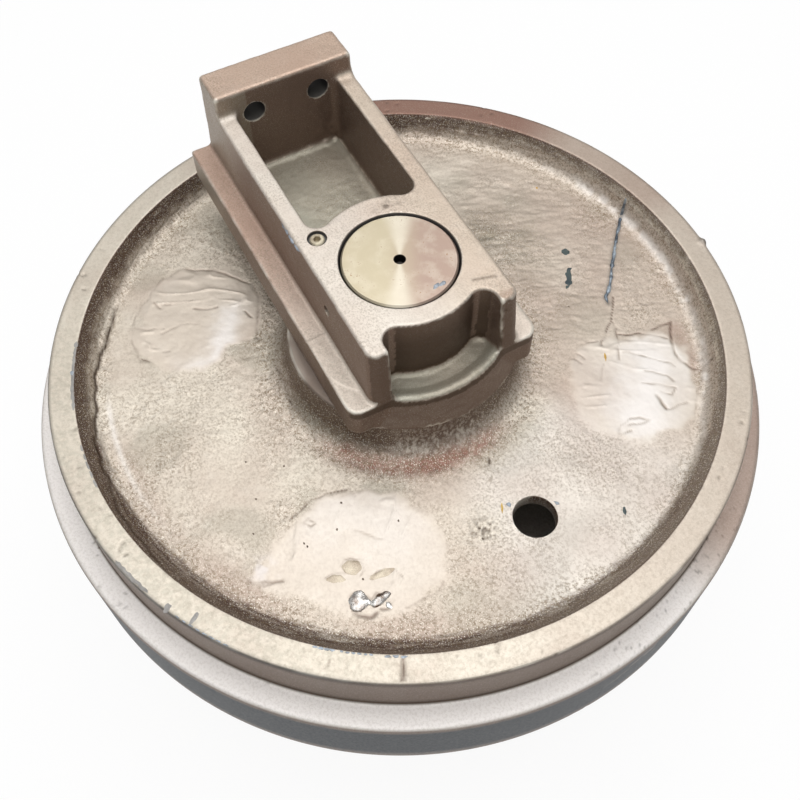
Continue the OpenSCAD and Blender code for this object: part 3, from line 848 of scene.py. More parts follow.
CREASES = tuple(Crease(line, depth, width) for depth, width, line in (
    (0.6, 1.2, ((191, 159), (194, 158), (196, 147), (187, 135), (179, 121), (168, 109), (152, 101),
        (142, 92), (126, 92), (109, 99), (91, 109), (79, 113))),
    (0.3, 0.9, ((193, 166), (186, 176), (168, 199), (150, 216), (132, 223), (108, 222))),
    (0.6, 0.9, ((167, 186), (157, 182))),
    (0.45, 0.9, ((161, 179), (156, 164), (152, 152))),
    (0.6, 0.9, ((142, 154), (135, 144), (132, 133))),
    (0.35, 0.9, ((129, 193), (130, 173), (123, 157))),
    (0.3, 0.9, ((149, 217), (138, 202), (134, 189))),
    (0.8, 0.9, ((107, 199), (105, 194))),
    (0.6, 0.9, ((110, 220), (101, 216))),
    (0.8, 0.9, ((113, 111), (105, 110))),
    (0.6, 0.9, ((-43, -217), (-53, -209), (-64, -199), (-72, -189), (-79, -179), (-87, -172))),
    (0.45, 0.9, ((-67, -199), (-75, -198), (-85, -193), (-94, -186), (-107, -179))),
    (0.4, 0.9, ((-76, -155), (-78, -164), (-81, -173))),
    (0.6, 0.9, ((-84, -195), (-87, -203), (-89, -212), (-94, -218), (-102, -229), (-108, -234))),
    (0.7, 1.2, ((-93, -228), (-93, -238), (-93, -250), (-104, -241), (-115, -235), (-128, -231),
        (-138, -231), (-147, -235), (-154, -243), (-152, -252))),
    (0.6, 0.9, ((-103, -187), (-108, -193), (-116, -203), (-126, -213), (-133, -221), (-138, -222))),
    (0.5, 0.9, ((-105, -162), (-112, -156), (-119, -150))),
    (0.5, 0.9, ((-177, -143), (-174, -132), (-167, -139), (-166, -149), (-169, -159), (-175, -164),
        (-175, -154), (-171, -144))),
    (1.0, 1.6, ((-158, -186), (-167, -185), (-173, -185))),
    (0.4, 0.9, ((-130, -193), (-136, -200), (-143, -208), (-152, -210))),
    (0.45, 0.9, ((-140, -183), (-145, -192), (-154, -202), (-160, -207), (-163, -200), (-156, -193))),
    (0.35, 0.9, ((-175, -187), (-175, -197), (-176, -208))),
    (0.35, 0.9, ((-154, -243), (-160, -236), (-169, -227), (-179, -215), (-186, -211), (-196, -202))),
    (0.35, 0.9, ((-82, -147), (-91, -149))),
    (0.35, 0.9, ((-86, -141), (-95, -144))),
    (0.6, 0.9, ((-111, 166), (-105, 154), (-102, 142), (-102, 130), (-104, 120), (-108, 110),
        (-116, 107))),
    (0.35, 0.9, ((-113, 102), (-120, 87), (-129, 73))),
    (0.45, 0.9, ((-146, 122), (-154, 115), (-159, 110), (-163, 106))),
    (0.3, 0.9, ((-226, 117), (-227, 103), (-227, 87), (-222, 79))),
    (0.6, 1.2, ((-144, 220), (-150, 213), (-155, 205), (-158, 196))),
    (0.9, 1.1, ((-146, -7), (-145, -11), (-141, -15))),
    (0.5, 0.9, ((-118, 158), (-117, 152), (-123, 149), (-124, 155), (-118, 158))),
    (0.4, 1.1, ((36, 113), (20, 115), (-6, 117), (-34, 113))),
    (0.5, 0.8, ((-170, 149), (-166, 143), (-167, 137), (-173, 131), (-180, 132), (-183, 137))),
    (0.6, 0.7, ((-190, 130), (-187, 124), (-189, 116), (-193, 110), (-201, 107))),
    (0.4, 0.7, ((-177, 146), (-172, 157), (-173, 164))),
    (0.8, 1.0, ((-203, 157), (-196, 153), (-196, 147), (-203, 140), (-207, 140), (-204, 131),
        (-206, 127), (-211, 128), (-217, 126), (-221, 128), (-219, 136))),
    (0.9, 1.2, ((-209, 156), (-216, 153), (-220, 146), (-220, 140))),
    (0.5, 1.0, ((-145, 220), (-150, 216), (-155, 211), (-156, 202), (-159, 195))),
    (1.0, 1.7, ((-267, 142), (-274, 145), (-285, 151))),
    (0.4, 0.8, ((-243, 194), (-247, 198))),
))


# Where a hard edge scraped the enamel off the web down to blue steel.
GOUGE = ((44.0, -288.0), (25.6, -270.0), (11.5, -256.9), (-13.0, -235.6), (-25.2, -225.6),
         (-35.0, -216.2), (-39.1, -210.2), (-47.4, -207.6))

# Where the web is rosier, at the foot of the rim's wall on the right.
WARM_STREAK = ((-105, -248), (-125, -243), (-142, -240))


@dataclass
class WheelCasting:
    """The hollow wheel, seen as rims and webs that meet edge to edge.

    Lengths are in millimetres; radii are measured from the axis and heights from the
    middle plane of the wheel. Angles called near are counted from the radius that
    points to the photographer. The outer skin of a web lies above skin_z. Steps round
    the axis, and the spacings along the sections of rim, web and hub, are those of the
    upper side and then of the lower one.
    """

    flange_r: float = 347.5
    flange_z: float = 43.3
    tread_r: float = 325.0
    rim_z: float = 97.0
    rim_inner_r: float = 301.0
    rim_foot_r: float = 289.0
    seam_r: float = 279.0
    split_r: float = 168.0
    hub_r: float = 104.0
    hub_foot_r: float = 109.0
    hub_z: float = 114.0
    web_hub_z: float = 76.0
    web_rim_z: float = 73.0
    web_t: float = 14.0
    hollow_out_r: float = 305.0
    hub_tube_r: float = 80.0
    seat_top_r: float = 75.2
    seat_foot_r: float = 70.8
    seat_z: float = 99.5
    bushing_r: float = 56.0
    bushing_end_z: float = 34.5
    oil_space_r: float = 60.0
    core_hole: tuple[float, float, float] = (-208.0, -20.4, 38.0)
    pitted: tuple[float, float] = (-197.0, 26.0)
    nub: tuple[float, float, float] = (-40.5, -323.5, 96.0)
    near_deg: float = 152.0
    skin_z: float = 60.0
    steps: tuple[int, int] = (1150, 640)
    spacings: tuple[tuple[float, float, float], ...] = ((1.6, 1.5, 1.75), (3.4, 3.4, 4.0))

    def web_z(self, r: Array | float) -> Array | float:
        """Height of the web's outer face: a straight line from the hub's foot to the rim's."""
        slope = (self.web_rim_z - self.web_hub_z) / (self.rim_foot_r - self.hub_foot_r)
        return self.web_hub_z + slope * (r - self.hub_foot_r)

    def under_z(self, r: float) -> float:
        """Height of the web's inner face: a straight line between the hollow's corners."""
        slope = (self.web_rim_z - self.web_hub_z) / (self.hollow_out_r - self.hub_tube_r)
        return self.web_hub_z - self.web_t + slope * (r - self.hub_tube_r)

    def ground(self, x: Array, y: Array) -> Array:
        """Height of the upper side's skin over points of the web or of the rim's face.

        Args:
            x: Where to look, along X.
            y: The same, along Y.

        Returns:
            The drawn face's height plus the relief there.
        """
        r = np.hypot(x, y)
        flat = np.where(r < self.rim_foot_r, self.web_z(r), self.rim_z)
        return flat + self.relief(np.stack([x, y, flat], -1))

    def sections(self, spacings: tuple[float, float, float]) -> dict[str, Array]:
        """Closed sections of the wheel's parts.

        Args:
            spacings: Spacing of the points on the visible faces of rim, web and hub.

        Returns:
            Radius and height of each point, for the upper side: the rim from its flange
            over tread and face down to the seam, the web's outer ring between seam and
            split, and the hub with the inner ring of the web.
        """
        rim, web, hub = spacings
        return {
            "rim": rounded_outline((
                (self.seam_r, self.under_z(self.seam_r), 0, 6),
                (self.seam_r, self.web_z(self.seam_r), 0, rim),
                (self.rim_foot_r, self.web_rim_z, 14, rim),
                (self.rim_inner_r, self.rim_z, 1.5, 1.3 * rim),
                (self.tread_r, self.rim_z, 1.5, 2.2 * rim),
                (self.tread_r, self.flange_z, 3, 1.4 * rim),
                (self.flange_r, self.flange_z, 4, 3.5 * rim),
                (self.flange_r, 0, 0, 16),
                (self.hollow_out_r, 0, 0, 16),
                (self.hollow_out_r, self.under_z(self.hollow_out_r), 16, 14),
            )),
            "web": rounded_outline((
                (self.split_r, self.web_z(self.split_r), 0, web),
                (self.seam_r, self.web_z(self.seam_r), 0, 6),
                (self.seam_r, self.under_z(self.seam_r), 0, 18),
                (self.split_r, self.under_z(self.split_r), 0, 6),
            )),
            "hub": rounded_outline((
                (self.hub_foot_r, self.web_hub_z, 25, hub),
                (self.split_r, self.web_z(self.split_r), 0, 6),
                (self.split_r, self.under_z(self.split_r), 0, 18),
                (self.hub_tube_r, self.under_z(self.hub_tube_r), 16, 16),
                (self.hub_tube_r, 0, 0, 12),
                (self.oil_space_r, 0, 0, 16),
                (self.oil_space_r, self.bushing_end_z - 4, 0, 6),
                (self.bushing_r, self.bushing_end_z, 0, 18),
                (self.bushing_r, self.seat_z, 0, 8),
                (self.seat_foot_r, self.seat_z, 0, 8),
                (self.seat_top_r, self.hub_z, 0, 3 * hub),
                (self.hub_r, self.hub_z, 3, 1.2 * hub),
            )),
        }

    def near(self, p: Array) -> tuple[Array, Array]:
        """Cosine and sine of each point's angle from the radius towards the photographer."""
        turn = np.arctan2(p[:, 1], p[:, 0]) - math.radians(self.near_deg)
        return np.cos(turn), np.sin(turn)

    def cast_share(self, p: Array) -> Array:
        """Where the skin is cast.

        Args:
            p: Points, one row of three each.

        Returns:
            One on the cast skin and zero on the turned rim, hub face and bores.
        """
        r, height = np.hypot(p[:, 0], p[:, 1]), np.abs(p[:, 2])
        cast = 1 - smoothstep(299.6, 300.8, r)
        cast = cast * (1 - smoothstep(self.hub_z - 2.5, self.hub_z - 0.5, height))
        return cast * smoothstep(self.hub_tube_r + 1, self.hub_tube_r + 6, r) * (height > 0)

    def grit(self, p: Array) -> Array:
        """How coarse the sand grain is, from 0 to 1.

        Args:
            p: Points, one row of three each.

        Returns:
            Patches on the web, more of it in a ring round the hub's foot, on the rim's
            wall and beside the bracket, and none on the smears.
        """
        r, height = np.hypot(p[:, 0], p[:, 1]), np.abs(p[:, 2])
        patch = 0.40 + 0.4 * noise(p, 46, 31) + 0.2 * noise(p, 15, 32)
        hub = 0.75 * hill(r - 122, 18)
        foot = 0.6 * smoothstep(268, 286, r) + 0.5 * smoothstep(76, 84, height) * (r > 270)
        shade = 0.55 * hill(np.hypot(p[:, 0] - 150, p[:, 1] - 95), 60)
        rough = np.clip(patch + hub + foot + shade, 0.2, 1)
        return rough * self.cast_share(p) * (1 - 0.93 * self.smear_share(p)[0])

    def smear_share(self, p: Array) -> tuple[Array, Array]:
        """Where filler was smeared over the upper web.

        Args:
            p: Points, one row of three each.

        Returns:
            One in the smears, feathered out at their edges, and how white they are: a
            base that grows towards the whitest line of each by a bell curve. The white is
            partly the filler's own pale tone and partly painted highlight.
        """
        share, white = np.zeros(len(p)), np.zeros(len(p))
        near = p[:, 2] > self.skin_z
        q = p[near]
        ragged = 7.0 * noise(q, 24, 11) + 3.5 * noise(q, 8, 12)
        for smear in SMEARS:
            inside = loop_distance(q[:, 0], q[:, 1], np.array(smear.edge)) + ragged
            share[near] = np.maximum(share[near], smoothstep(-0.4 * smear.feather, smear.feather, inside))
            away = line_distance(q[:, 0], q[:, 1], smear.whitest) + 1.5 * ragged
            tone = smear.base + (smear.peak - smear.base) * hill(np.maximum(away, 0), smear.reach)
            white[near] = np.maximum(white[near], tone * smoothstep(-2, 10, inside))
        return share, white

    def creases(self, p: Array) -> tuple[Array, Array]:
        """Grooves of the web's skin.

        Args:
            p: Points, one row of three each.

        Returns:
            Depth of the creases at each point, and the painted shade in them, from 0 to 1.
        """
        depth, dark = np.zeros(len(p)), np.zeros(len(p))
        near = (p[:, 2] > self.skin_z) & (np.hypot(p[:, 0], p[:, 1]) < self.tread_r - 2)
        q = p[near]
        shift = np.stack([1.6 * noise(q, 9, 13), 1.6 * noise(q, 9, 14)])
        shown = 0.35 + 0.65 * smoothstep(-0.35, 0.35, noise(q, 11, 17))
        for crease in CREASES:
            away = line_distance(q[:, 0] + shift[0], q[:, 1] + shift[1], crease.line)
            groove = shown * hill(away, crease.width)
            depth[near] = np.maximum(depth[near], crease.depth * groove)
            dark[near] = np.maximum(dark[near], min(1.0, 1.3 * crease.depth) * groove)
        return depth, dark

    def folds(self, p: Array) -> Array:
        """Height of the strokes that the scraper left in the smears.

        Args:
            p: Points, one row of three each.

        Returns:
            For each smear, ridges from the eighth power of one less the size of a noise
            that is stretched along the stroke, where a second noise lets them show.
        """
        lift = np.zeros(len(p))
        near = p[:, 2] > self.skin_z
        q = p[near]
        shown = smoothstep(0.0, 0.5, noise(q, 30, 15))
        for number, smear in enumerate(SMEARS):
            inside = smoothstep(0, 12, loop_distance(q[:, 0], q[:, 1], np.array(smear.edge)))
            turn = math.radians(smear.fold_deg)
            along = q[:, 0] * math.cos(turn) + q[:, 1] * math.sin(turn)
            across = q[:, 1] * math.cos(turn) - q[:, 0] * math.sin(turn)
            stroke = np.stack([along / 4, across, q[:, 2]], -1)
            ridges = (1 - np.abs(noise(stroke, 9, 20 + number))) ** 8
            lift[near] += inside * (0.7 * shown * ridges + 0.2 * noise(stroke, 14, 24 + number))
        return lift

    def wrinkles(self, p: Array) -> Array:
        """Height of the flow wrinkles on the far and right parts of the web.

        Args:
            p: Points, one row of three each.

        Returns:
            Two noises stretched along one direction: fine ones from the right round to
            the far side, and coarse ones on the far side alone.
        """
        cosine, sine = self.near(p)
        r = np.hypot(p[:, 0], p[:, 1])
        web = smoothstep(120, 150, r) * (1 - smoothstep(276, 290, r)) * (p[:, 2] > self.skin_z)
        fine = web * smoothstep(0.15, -0.25, cosine) * smoothstep(0.0, 0.3, sine)
        coarse = web * smoothstep(-0.55, -0.8, cosine) * smoothstep(0.0, 0.2, sine)
        along = 0.475 * p[:, 0] + 0.880 * p[:, 1]
        across = 0.880 * p[:, 0] - 0.475 * p[:, 1] + 2.5 * noise(p, 22, 33)
        grainwise = np.stack([along / 2.4, across, 0 * along], -1)
        return 0.26 * fine * noise(grainwise, 3.2, 34) + 0.5 * coarse * noise(grainwise, 7.5, 35)

    def relief(self, p: Array) -> Array:
        """Height of the cast skin above the drawn section.

        Args:
            p: Points, one row of three each.

        Returns:
            Sum of a broad swell, three sizes of sand grain, streaks along the rim's
            inner wall, the smears, creases and wrinkles, the lap beside the left rim,
            the pitted patch and a nub on the rim's edge. Turned faces get only a faint
            swell and a few pits.
        """
        x, y, z = p.T
        r = np.hypot(x, y)
        cast, (smear, _), (_, sine) = self.cast_share(p), self.smear_share(p), self.near(p)
        swell = 0.75 * noise(p, 64, 1) + 0.35 * noise(p, 27, 2)
        sand = 0.20 * noise(p, 8.5, 3) + 0.24 * noise(p, 4.3, 4) + 0.17 * noise(p, 2.5, 9)
        wall = smoothstep(-6, 0, r - self.band_foot(p)) * (1 - smoothstep(299.6, 300.8, r))
        streaks = wall * (0.7 - 0.45 * np.maximum(sine, 0)) * self.wall_grain(p)
        crease, _ = self.creases(p)
        patch = hill(np.hypot(x - self.pitted[0], y - self.pitted[1]), 13) * (z > self.skin_z)
        pitted = -0.8 * patch * smoothstep(0.0, 0.5, noise(p, 2.7, 16))
        skin = cast * (0.8 * swell + sand * (0.35 + 1.0 * self.grit(p)) + 0.3 * smear + streaks)
        strokes = self.folds(p) + self.wrinkles(p) + pitted + self.lap(p)
        skin += cast * strokes - crease * (r > 112)
        turned = (1 - cast) * (r > 298)
        skin += turned * (0.05 * noise(p, 30, 8) - 0.5 * self.rim_pits(p))
        bump = np.linalg.norm(p - np.array(self.nub), axis=1)
        return skin + 3.4 * hill(bump, 4.2)

    def wall_grain(self, p: Array) -> Array:
        """Grain of the rim's inner wall.

        Args:
            p: Points, one row of three each.

        Returns:
            Noise drawn out along the wall, as the mould's strickle left it.
        """
        r, height = np.hypot(p[:, 0], p[:, 1]), np.abs(p[:, 2])
        angle = np.arctan2(p[:, 1], p[:, 0])
        return noise(np.stack([angle * 300 / 9, r + height, 0.3 * r], -1), 2.4, 5)

    def band_foot(self, p: Array) -> Array:
        """Radius where the painted brown shade of the rim's inner wall starts.

        Args:
            p: Points, one row of three each.

        Returns:
            About 293.5, up to 5.5 more on the right and up to 13.5 less nearby.
        """
        cosine, sine = self.near(p)
        right = (2 + 3.5 * smoothstep(0.5, -0.4, cosine)) * np.maximum(sine, 0)
        return 293.5 + right - 13.5 * smoothstep(0, 1, cosine)

    def rim_pits(self, p: Array) -> Array:
        """One in the few pits of the turned faces, where a small noise and a broad one agree."""
        return smoothstep(0.66, 0.85, noise(p, 4.5, 6)) * smoothstep(0.15, 0.5, noise(p, 60, 7))

    def lap(self, p: Array) -> Array:
        """Fold in the foot of the rim's inner wall, between 46 and 118 degrees from X.

        Args:
            p: Points, one row of three each.

        Returns:
            A narrow groove with a soft ridge outside it, along a line whose radius grows
            evenly with the angle.
        """
        away, ends = self.lap_line(p)
        return ends * (-1.3 * hill(away, 1.5) + 0.7 * hill(away - 4, 3.0))

    def lap_line(self, p: Array) -> tuple[Array, Array]:
        """Where the lap runs.

        Args:
            p: Points, one row of three each.

        Returns:
            Distance from the lap's line, and one between the lap's two ends.
        """
        x, y, z = p.T
        degrees = np.degrees(np.arctan2(y, x))
        ends = smoothstep(46, 56, degrees) * (1 - smoothstep(106, 118, degrees)) * (z > 0)
        wave = 1.2 * np.sin(np.radians(degrees) * 23) + 0.7 * np.sin(np.radians(degrees) * 71)
        return np.hypot(x, y) - 282 - (degrees - 51) * 0.28 - wave, ends

    def turned(self, name: str, outline: Array, segments: int, side: Side) -> Object:
        """Turn a section about the axis, with the cast skin on it.

        Args:
            name: Name of the piece.
            outline: Closed section of the upper side.
            segments: Number of steps round.
            side: Which side the piece is on.

        Returns:
            The piece. A point is the section's point turned by its angle, moved along the
            section's normal by the height of the skin.
        """
        angle = np.linspace(0, 2 * math.pi, segments, endpoint=False)
        turn = np.stack([np.cos(angle), np.sin(angle)], -1)

        def place(section: Array) -> Array:
            """Points or directions of the section, turned round the axis."""
            flat = section[:, None, :1] * turn[None, :, :]
            tall = np.broadcast_to(section[:, None, 1:] * side.value, flat[..., :1].shape)
            return np.concatenate([flat, tall], -1).reshape(-1, 3)

        way_out = outline_normals(outline)
        seam = np.min(np.abs(outline[:, :1] - np.array([self.seam_r, self.split_r])), axis=1) < 0.01
        way_out[seam] = np.stack([0 * way_out[seam, 1], np.sign(way_out[seam, 1])], -1)
        points, out = place(outline), place(way_out)
        points = points + self.relief(points)[:, None] * out
        points[:, 2] = np.where(place(outline)[:, 2] == 0, 0, points[:, 2])
        return make_mesh(name, keep_in_box(points, "idler_wheel"), grid_quads(len(outline), segments))

    def rim_wall_shade(self, p: Array) -> Array:
        """Painted shade on the rim's inner wall, in brown.

        Args:
            p: Points, one row of three each.

        Returns:
            Nearly one above the band's ragged foot, less to the right, where the wall is lit,
            and less on the streaks that stand out low on the wall.
        """
        _, sine = self.near(p)
        r, streak = np.hypot(p[:, 0], p[:, 1]), self.wall_grain(p)
        band = smoothstep(-3, 3, r - self.band_foot(p) + 2.0 * noise(p, 7, 43) + 2.0 * streak)
        bare = 0.45 * smoothstep(0.0, 0.45, streak) * smoothstep(298, 286, r)
        return band * (0.95 - 0.3 * np.maximum(sine, 0) - bare)

    def hub_marks(self, p: Array) -> tuple[Array, Array, Array]:
        """Marks round the hub's foot, on the side towards the photographer.

        Args:
            p: Points, one row of three each.

        Returns:
            A ragged rosy band, a mossy stain to its left and a painted sparkle of light to its right.
        """
        cosine, sine = self.near(p)
        r, web = np.hypot(p[:, 0], p[:, 1]), np.abs(p[:, 2]) > self.skin_z
        rosy = hill(r - 125 + 3 * noise(p, 12, 48), 11) * (0.95 + 0.3 * noise(p, 5, 49)) * web
        rosy *= smoothstep(0.6, 0.92, 0.995 * cosine + 0.105 * sine)
        mossy = hill(r - 109, 9) * smoothstep(0.85, 0.95, 0.829 * cosine - 0.559 * sine) * web
        sparkle = hill(r - 110, 7) * smoothstep(0.88, 0.97, 0.94 * cosine + 0.342 * sine) * web
        return rosy, mossy, sparkle * smoothstep(0.0, 0.5, noise(p, 2.2, 50))

    def flange_marks(self, p: Array, upright: Array) -> tuple[Array, Array, Array]:
        """Parts of the centre flange that look different.

        Args:
            p: Points, one row of three each.
            upright: One on upright faces and zero on level ones.

        Returns:
            The level ledge, the bare outer cylinder below the enamel's ragged edge, and
            the scuffs at one place of it.
        """
        x, y, z = p.T
        r, height = np.hypot(x, y), np.abs(z)
        ledge = (r > self.tread_r + 0.6) * (height > self.flange_z - 3) * (height < self.flange_z + 3)
        below = smoothstep(4.0, 5.5, self.flange_z - height + 0.8 * noise(p, 9, 51))
        cylinder = smoothstep(self.flange_r - 1.6, self.flange_r - 0.8, r) * below
        scuffs = smoothstep(0.3, 0.6, noise(np.stack([x, y, 3 * z], -1), 12, 44))
        return ledge * (1 - upright), cylinder, scuffs * hill(np.hypot(x + 345, y + 48), 30) * (z > 0)

    def highlight(self, p: Array) -> Array:
        """Painted highlight along the foot of the rim's inner wall, which is also made smoother.

        Args:
            p: Points, one row of three each.

        Returns:
            The larger of a broken band on the right and a narrow gleam between 70 and
            112 degrees from X, whose radius shrinks evenly with the angle.
        """
        cosine, sine = self.near(p)
        r, degrees = np.hypot(p[:, 0], p[:, 1]), np.degrees(np.arctan2(p[:, 1], p[:, 0]))
        band = hill(r - 288.5, 5) * smoothstep(0.4, 0.75, sine) * (1 - smoothstep(0.2, 0.5, cosine))
        band *= 0.25 + 0.5 * smoothstep(-0.4, 0.4, noise(p, 8, 55))
        gleam = hill(r - 276 + 0.12 * (degrees - 75), 2.6) * smoothstep(70, 77, degrees)
        gleam *= 1 - smoothstep(84, 112, degrees)
        return np.maximum(band, 0.7 * gleam * (p[:, 2] > 0))

    def web_tints(self, p: Array) -> tuple[Array, Array, Array, Array]:
        """Slow changes of the web's colour.

        Args:
            p: Points, one row of three each.

        Returns:
            How rosy and how mossy it is, a rosier and grittier ring at the rim's foot
            nearby on the left, and one on its near right part.
        """
        x, y, z = p.T
        cosine, sine = self.near(p)
        front_right = smoothstep(0.2, 0.5, cosine) * smoothstep(0.2, 0.5, sine)
        warm = 0.12 + 0.2 * smoothstep(-0.3, 0.8, sine) * (1 - 0.8 * front_right) + 0.14 * noise(p, 50, 45)
        warm += 0.3 * hill(line_distance(x, y, WARM_STREAK), 12)
        # A rosier, grittier ring at the rim's foot nearby on the left.
        dust = hill(np.hypot(x, y) - 273, 13) * smoothstep(0.1, 0.6, cosine) * smoothstep(0.4, -0.1, sine)
        dust *= np.abs(z) < 90
        cool = 0.28 * smoothstep(0.1, 0.6, noise(p, 40, 46))
        cool += 0.75 * hill(np.hypot(x - 78, y + 150), 48) * (0.75 + 0.5 * noise(p, 11, 56))
        return warm + 0.25 * dust, cool, dust, front_right

    def mask(self, obj: Object) -> None:
        """Store where the enamel gets painted shade, stains, edge wear, painted glints and highlights,
        smoothness and tints, and where it is gone.

        Args:
            obj: The piece, whose mesh gets one number per corner point for each mask.
        """
        mesh = obj.data
        p, n = positions(mesh), normals(mesh)
        x, y, z = p.T
        r, height, upper = np.hypot(x, y), np.abs(z), z > 0
        cosine, sine = self.near(p)
        seam = np.minimum(np.abs(r - self.seam_r), np.abs(r - self.split_r)) < 4
        stands = bulge(mesh, 1) * ~seam
        upright = (1 - np.abs(n[:, 2])) * ~seam
        (smear, white), (_, crease), grit = self.smear_share(p), self.creases(p), self.grit(p)
        hub_band, mossy_side, sparkle = self.hub_marks(p)
        ledge, cylinder, scuffs = self.flange_marks(p, upright)
        warm, cool, foot_ring_tone, front_right = self.web_tints(p)
        band, highlight = self.rim_wall_shade(p), self.highlight(p)

        rim_side = (r > 268) * (r < 301.6) * (height > 64)
        face = (r > 300.5) & (height > self.rim_z - 4)
        hidden = (r < self.hub_r - 3) | ((height < 64) & (r < self.hollow_out_r + 1))
        hole = np.hypot(x - self.core_hole[0], y - self.core_hole[1]) < self.core_hole[2] / 2 + 0.6
        patch = hill(np.hypot(x - self.pitted[0], y - self.pitted[1]), 13) * upper
        drop = hill(np.hypot(x + 142, y - 206), 11) * smoothstep(-0.4, 0.2, noise(p, 7, 54)) * upper
        nub = hill(np.linalg.norm(p - np.array(self.nub), axis=1), 5)
        gouge = hill(line_distance(x, y, GOUGE), 2.6) * upper

        # Painted shade: steep faces, the hub's wall and top, the rim's band and the core hole's wall are
        # browner and darker.
        steep = smoothstep(0.15, 0.62, upright) * 0.8
        hub_top_shade = 0.7 * (height > self.hub_z - 6)
        hub_wall = (r < 112) * np.maximum(0.8 * smoothstep(0.3, 0.8, upright), hub_top_shade)
        wall = np.where(rim_side, band, np.maximum(steep, hub_wall)) + 0.5 * hole

        away, ends = self.lap_line(p)
        # Painted shade: darker in hollows, in the lap's groove, round the hub's foot and along the tread's
        # two edges, with the real pits, pitted patch and spots.
        cavity_shade = smoothstep(0.03, 0.18, -stands)
        hub_foot_shade = hill(r - 113, 7) * (r > 104) * (height > self.skin_z)
        tread_edge_shade = (r > 323) * (r < 326) * (hill(height - 93, 3) + hill(height - 46.5, 3))
        spots = smoothstep(0.55, 0.8, noise(p, 2.6, 52)) * smoothstep(0.35, 0.6, sine)
        spots *= 1 - smoothstep(0.8, 0.95, sine)
        grime_and_shade = 0.45 * cavity_shade * (1 - smear) + 0.55 * crease + 0.7 * ends * hill(away, 1.3)
        grime_and_shade += 0.2 * hub_foot_shade + 0.25 * self.rim_pits(p) * (r > 300)
        grime_and_shade += 0.6 * patch * smoothstep(-0.1, 0.4, noise(p, 2.7, 16)) + 0.7 * tread_edge_shade
        grime_and_shade += 0.5 * spots * ledge * (cosine > 0)

        edge = smoothstep(0.06, 0.2, stands) * smoothstep(-0.1, 0.6, noise(p, 18, 42))
        pink_ledge = ledge * smoothstep(0.7, 0.88, sine)
        # The flange's ledge is painted pale as a painted highlight; the scuffs and the drop are pale of
        # their own.
        bright = ledge - 0.8 * pink_ledge + 0.6 * scuffs * cylinder + 0.85 * drop
        bright += 0.35 * front_right * (r < 285) * smoothstep(135, 160, r) * (1 - patch)

        web = (r < 296) * (1 - smear)
        # Painted shade: the rim's face is rosier and darker on the far side, where it mirrors less light.
        far_face_shade = 0.5 * smoothstep(-0.3, -0.6, cosine) + 0.5 * smoothstep(-0.8, -0.93, cosine)
        far_face_shade *= face * upper * smoothstep(-0.5, -0.1, sine)
        face_tint = face * (0.06 + 0.19 * smoothstep(0.1, 0.8, sine)) + 0.6 * pink_ledge
        tint = warm * web * (1 - highlight) + 0.85 * hub_band + 0.20 * smear * (1 - white)
        tint += 0.25 * crease + face_tint
        pebbly = (face + ledge) * (0.08 + 0.14 * smoothstep(0.3, -0.4, sine) * smoothstep(-0.3, 0.3, cosine))
        pebbly *= 0.5 + smoothstep(-0.4, 0.5, noise(p, 2.8, 57))
        line = face * upper * hill(r - 325, 1.2) * smoothstep(0.2, -0.3, sine)
        coarse = np.maximum(grit * (1 - highlight), 0.18 * (r > 300))

        # The sparkle round the hub's foot is a painted glint, and the highlight is painted light along the
        # rim's wall.
        set_masks(mesh, {
            "wall": wall * (1 - gouge),
            "grime_and_shade": grime_and_shade,
            "wear_and_glint": 0.8 * edge * ~hidden * (1 - nub) + 0.45 * sparkle,
            "turned": 1.0 * face,
            "smear": np.maximum(smear, highlight) * (1 - crease),
            "pale": np.maximum(white, np.maximum(0.75 * highlight, bright)) * (1 - crease),
            "grit": coarse + 0.5 * hole + 0.3 * band * rim_side + 0.35 * foot_ring_tone,
            "rosy": np.maximum(tint, 0.92 * far_face_shade),
            "slate": cool * web * (r < 285) + 0.5 * hole + 0.7 * mossy_side + pebbly,
            "raw": cylinder * (1 - 0.6 * scuffs) + 0.6 * line + 0.9 * nub + 0.55 * gouge,
        })

    def build(self) -> None:
        """Make the rims and the webs, cut the core hole and dress them."""
        enamel = WHEEL_ENAMEL.material()
        for side, steps, spacings in zip(Side, self.steps, self.spacings):
            for word, outline in self.sections(spacings).items():
                piece = self.turned(side.word + "_" + word, outline, steps, side)
                if side is Side.UPPER and word == "web":
                    cut(piece, [self.core_cutter()])
                self.mask(piece)
                finish_mesh(piece, 50)
                piece.data.materials.clear()
                piece.data.materials.append(enamel)
                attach(piece, "wheel")
                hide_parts("idler_wheel")
                log.info("%s: %d faces", piece.name, len(piece.data.polygons))

    def core_cutter(self) -> Object:
        """Cutter of the core hole.

        Returns:
            A solid that is flared a little where it meets the web's face.
        """
        x, y, width = self.core_hole
        face = float(self.web_z(math.hypot(x, y)))
        r = width / 2
        profile = ((r, face - 30), (r, face - 3), (r + 0.5, face - 0.8), (r + 1.6, face + 0.6),
                   (r + 3, face + 8))
        return turned_cutter("core_cutter", profile, 96, (x, y, 0))


# The brackets


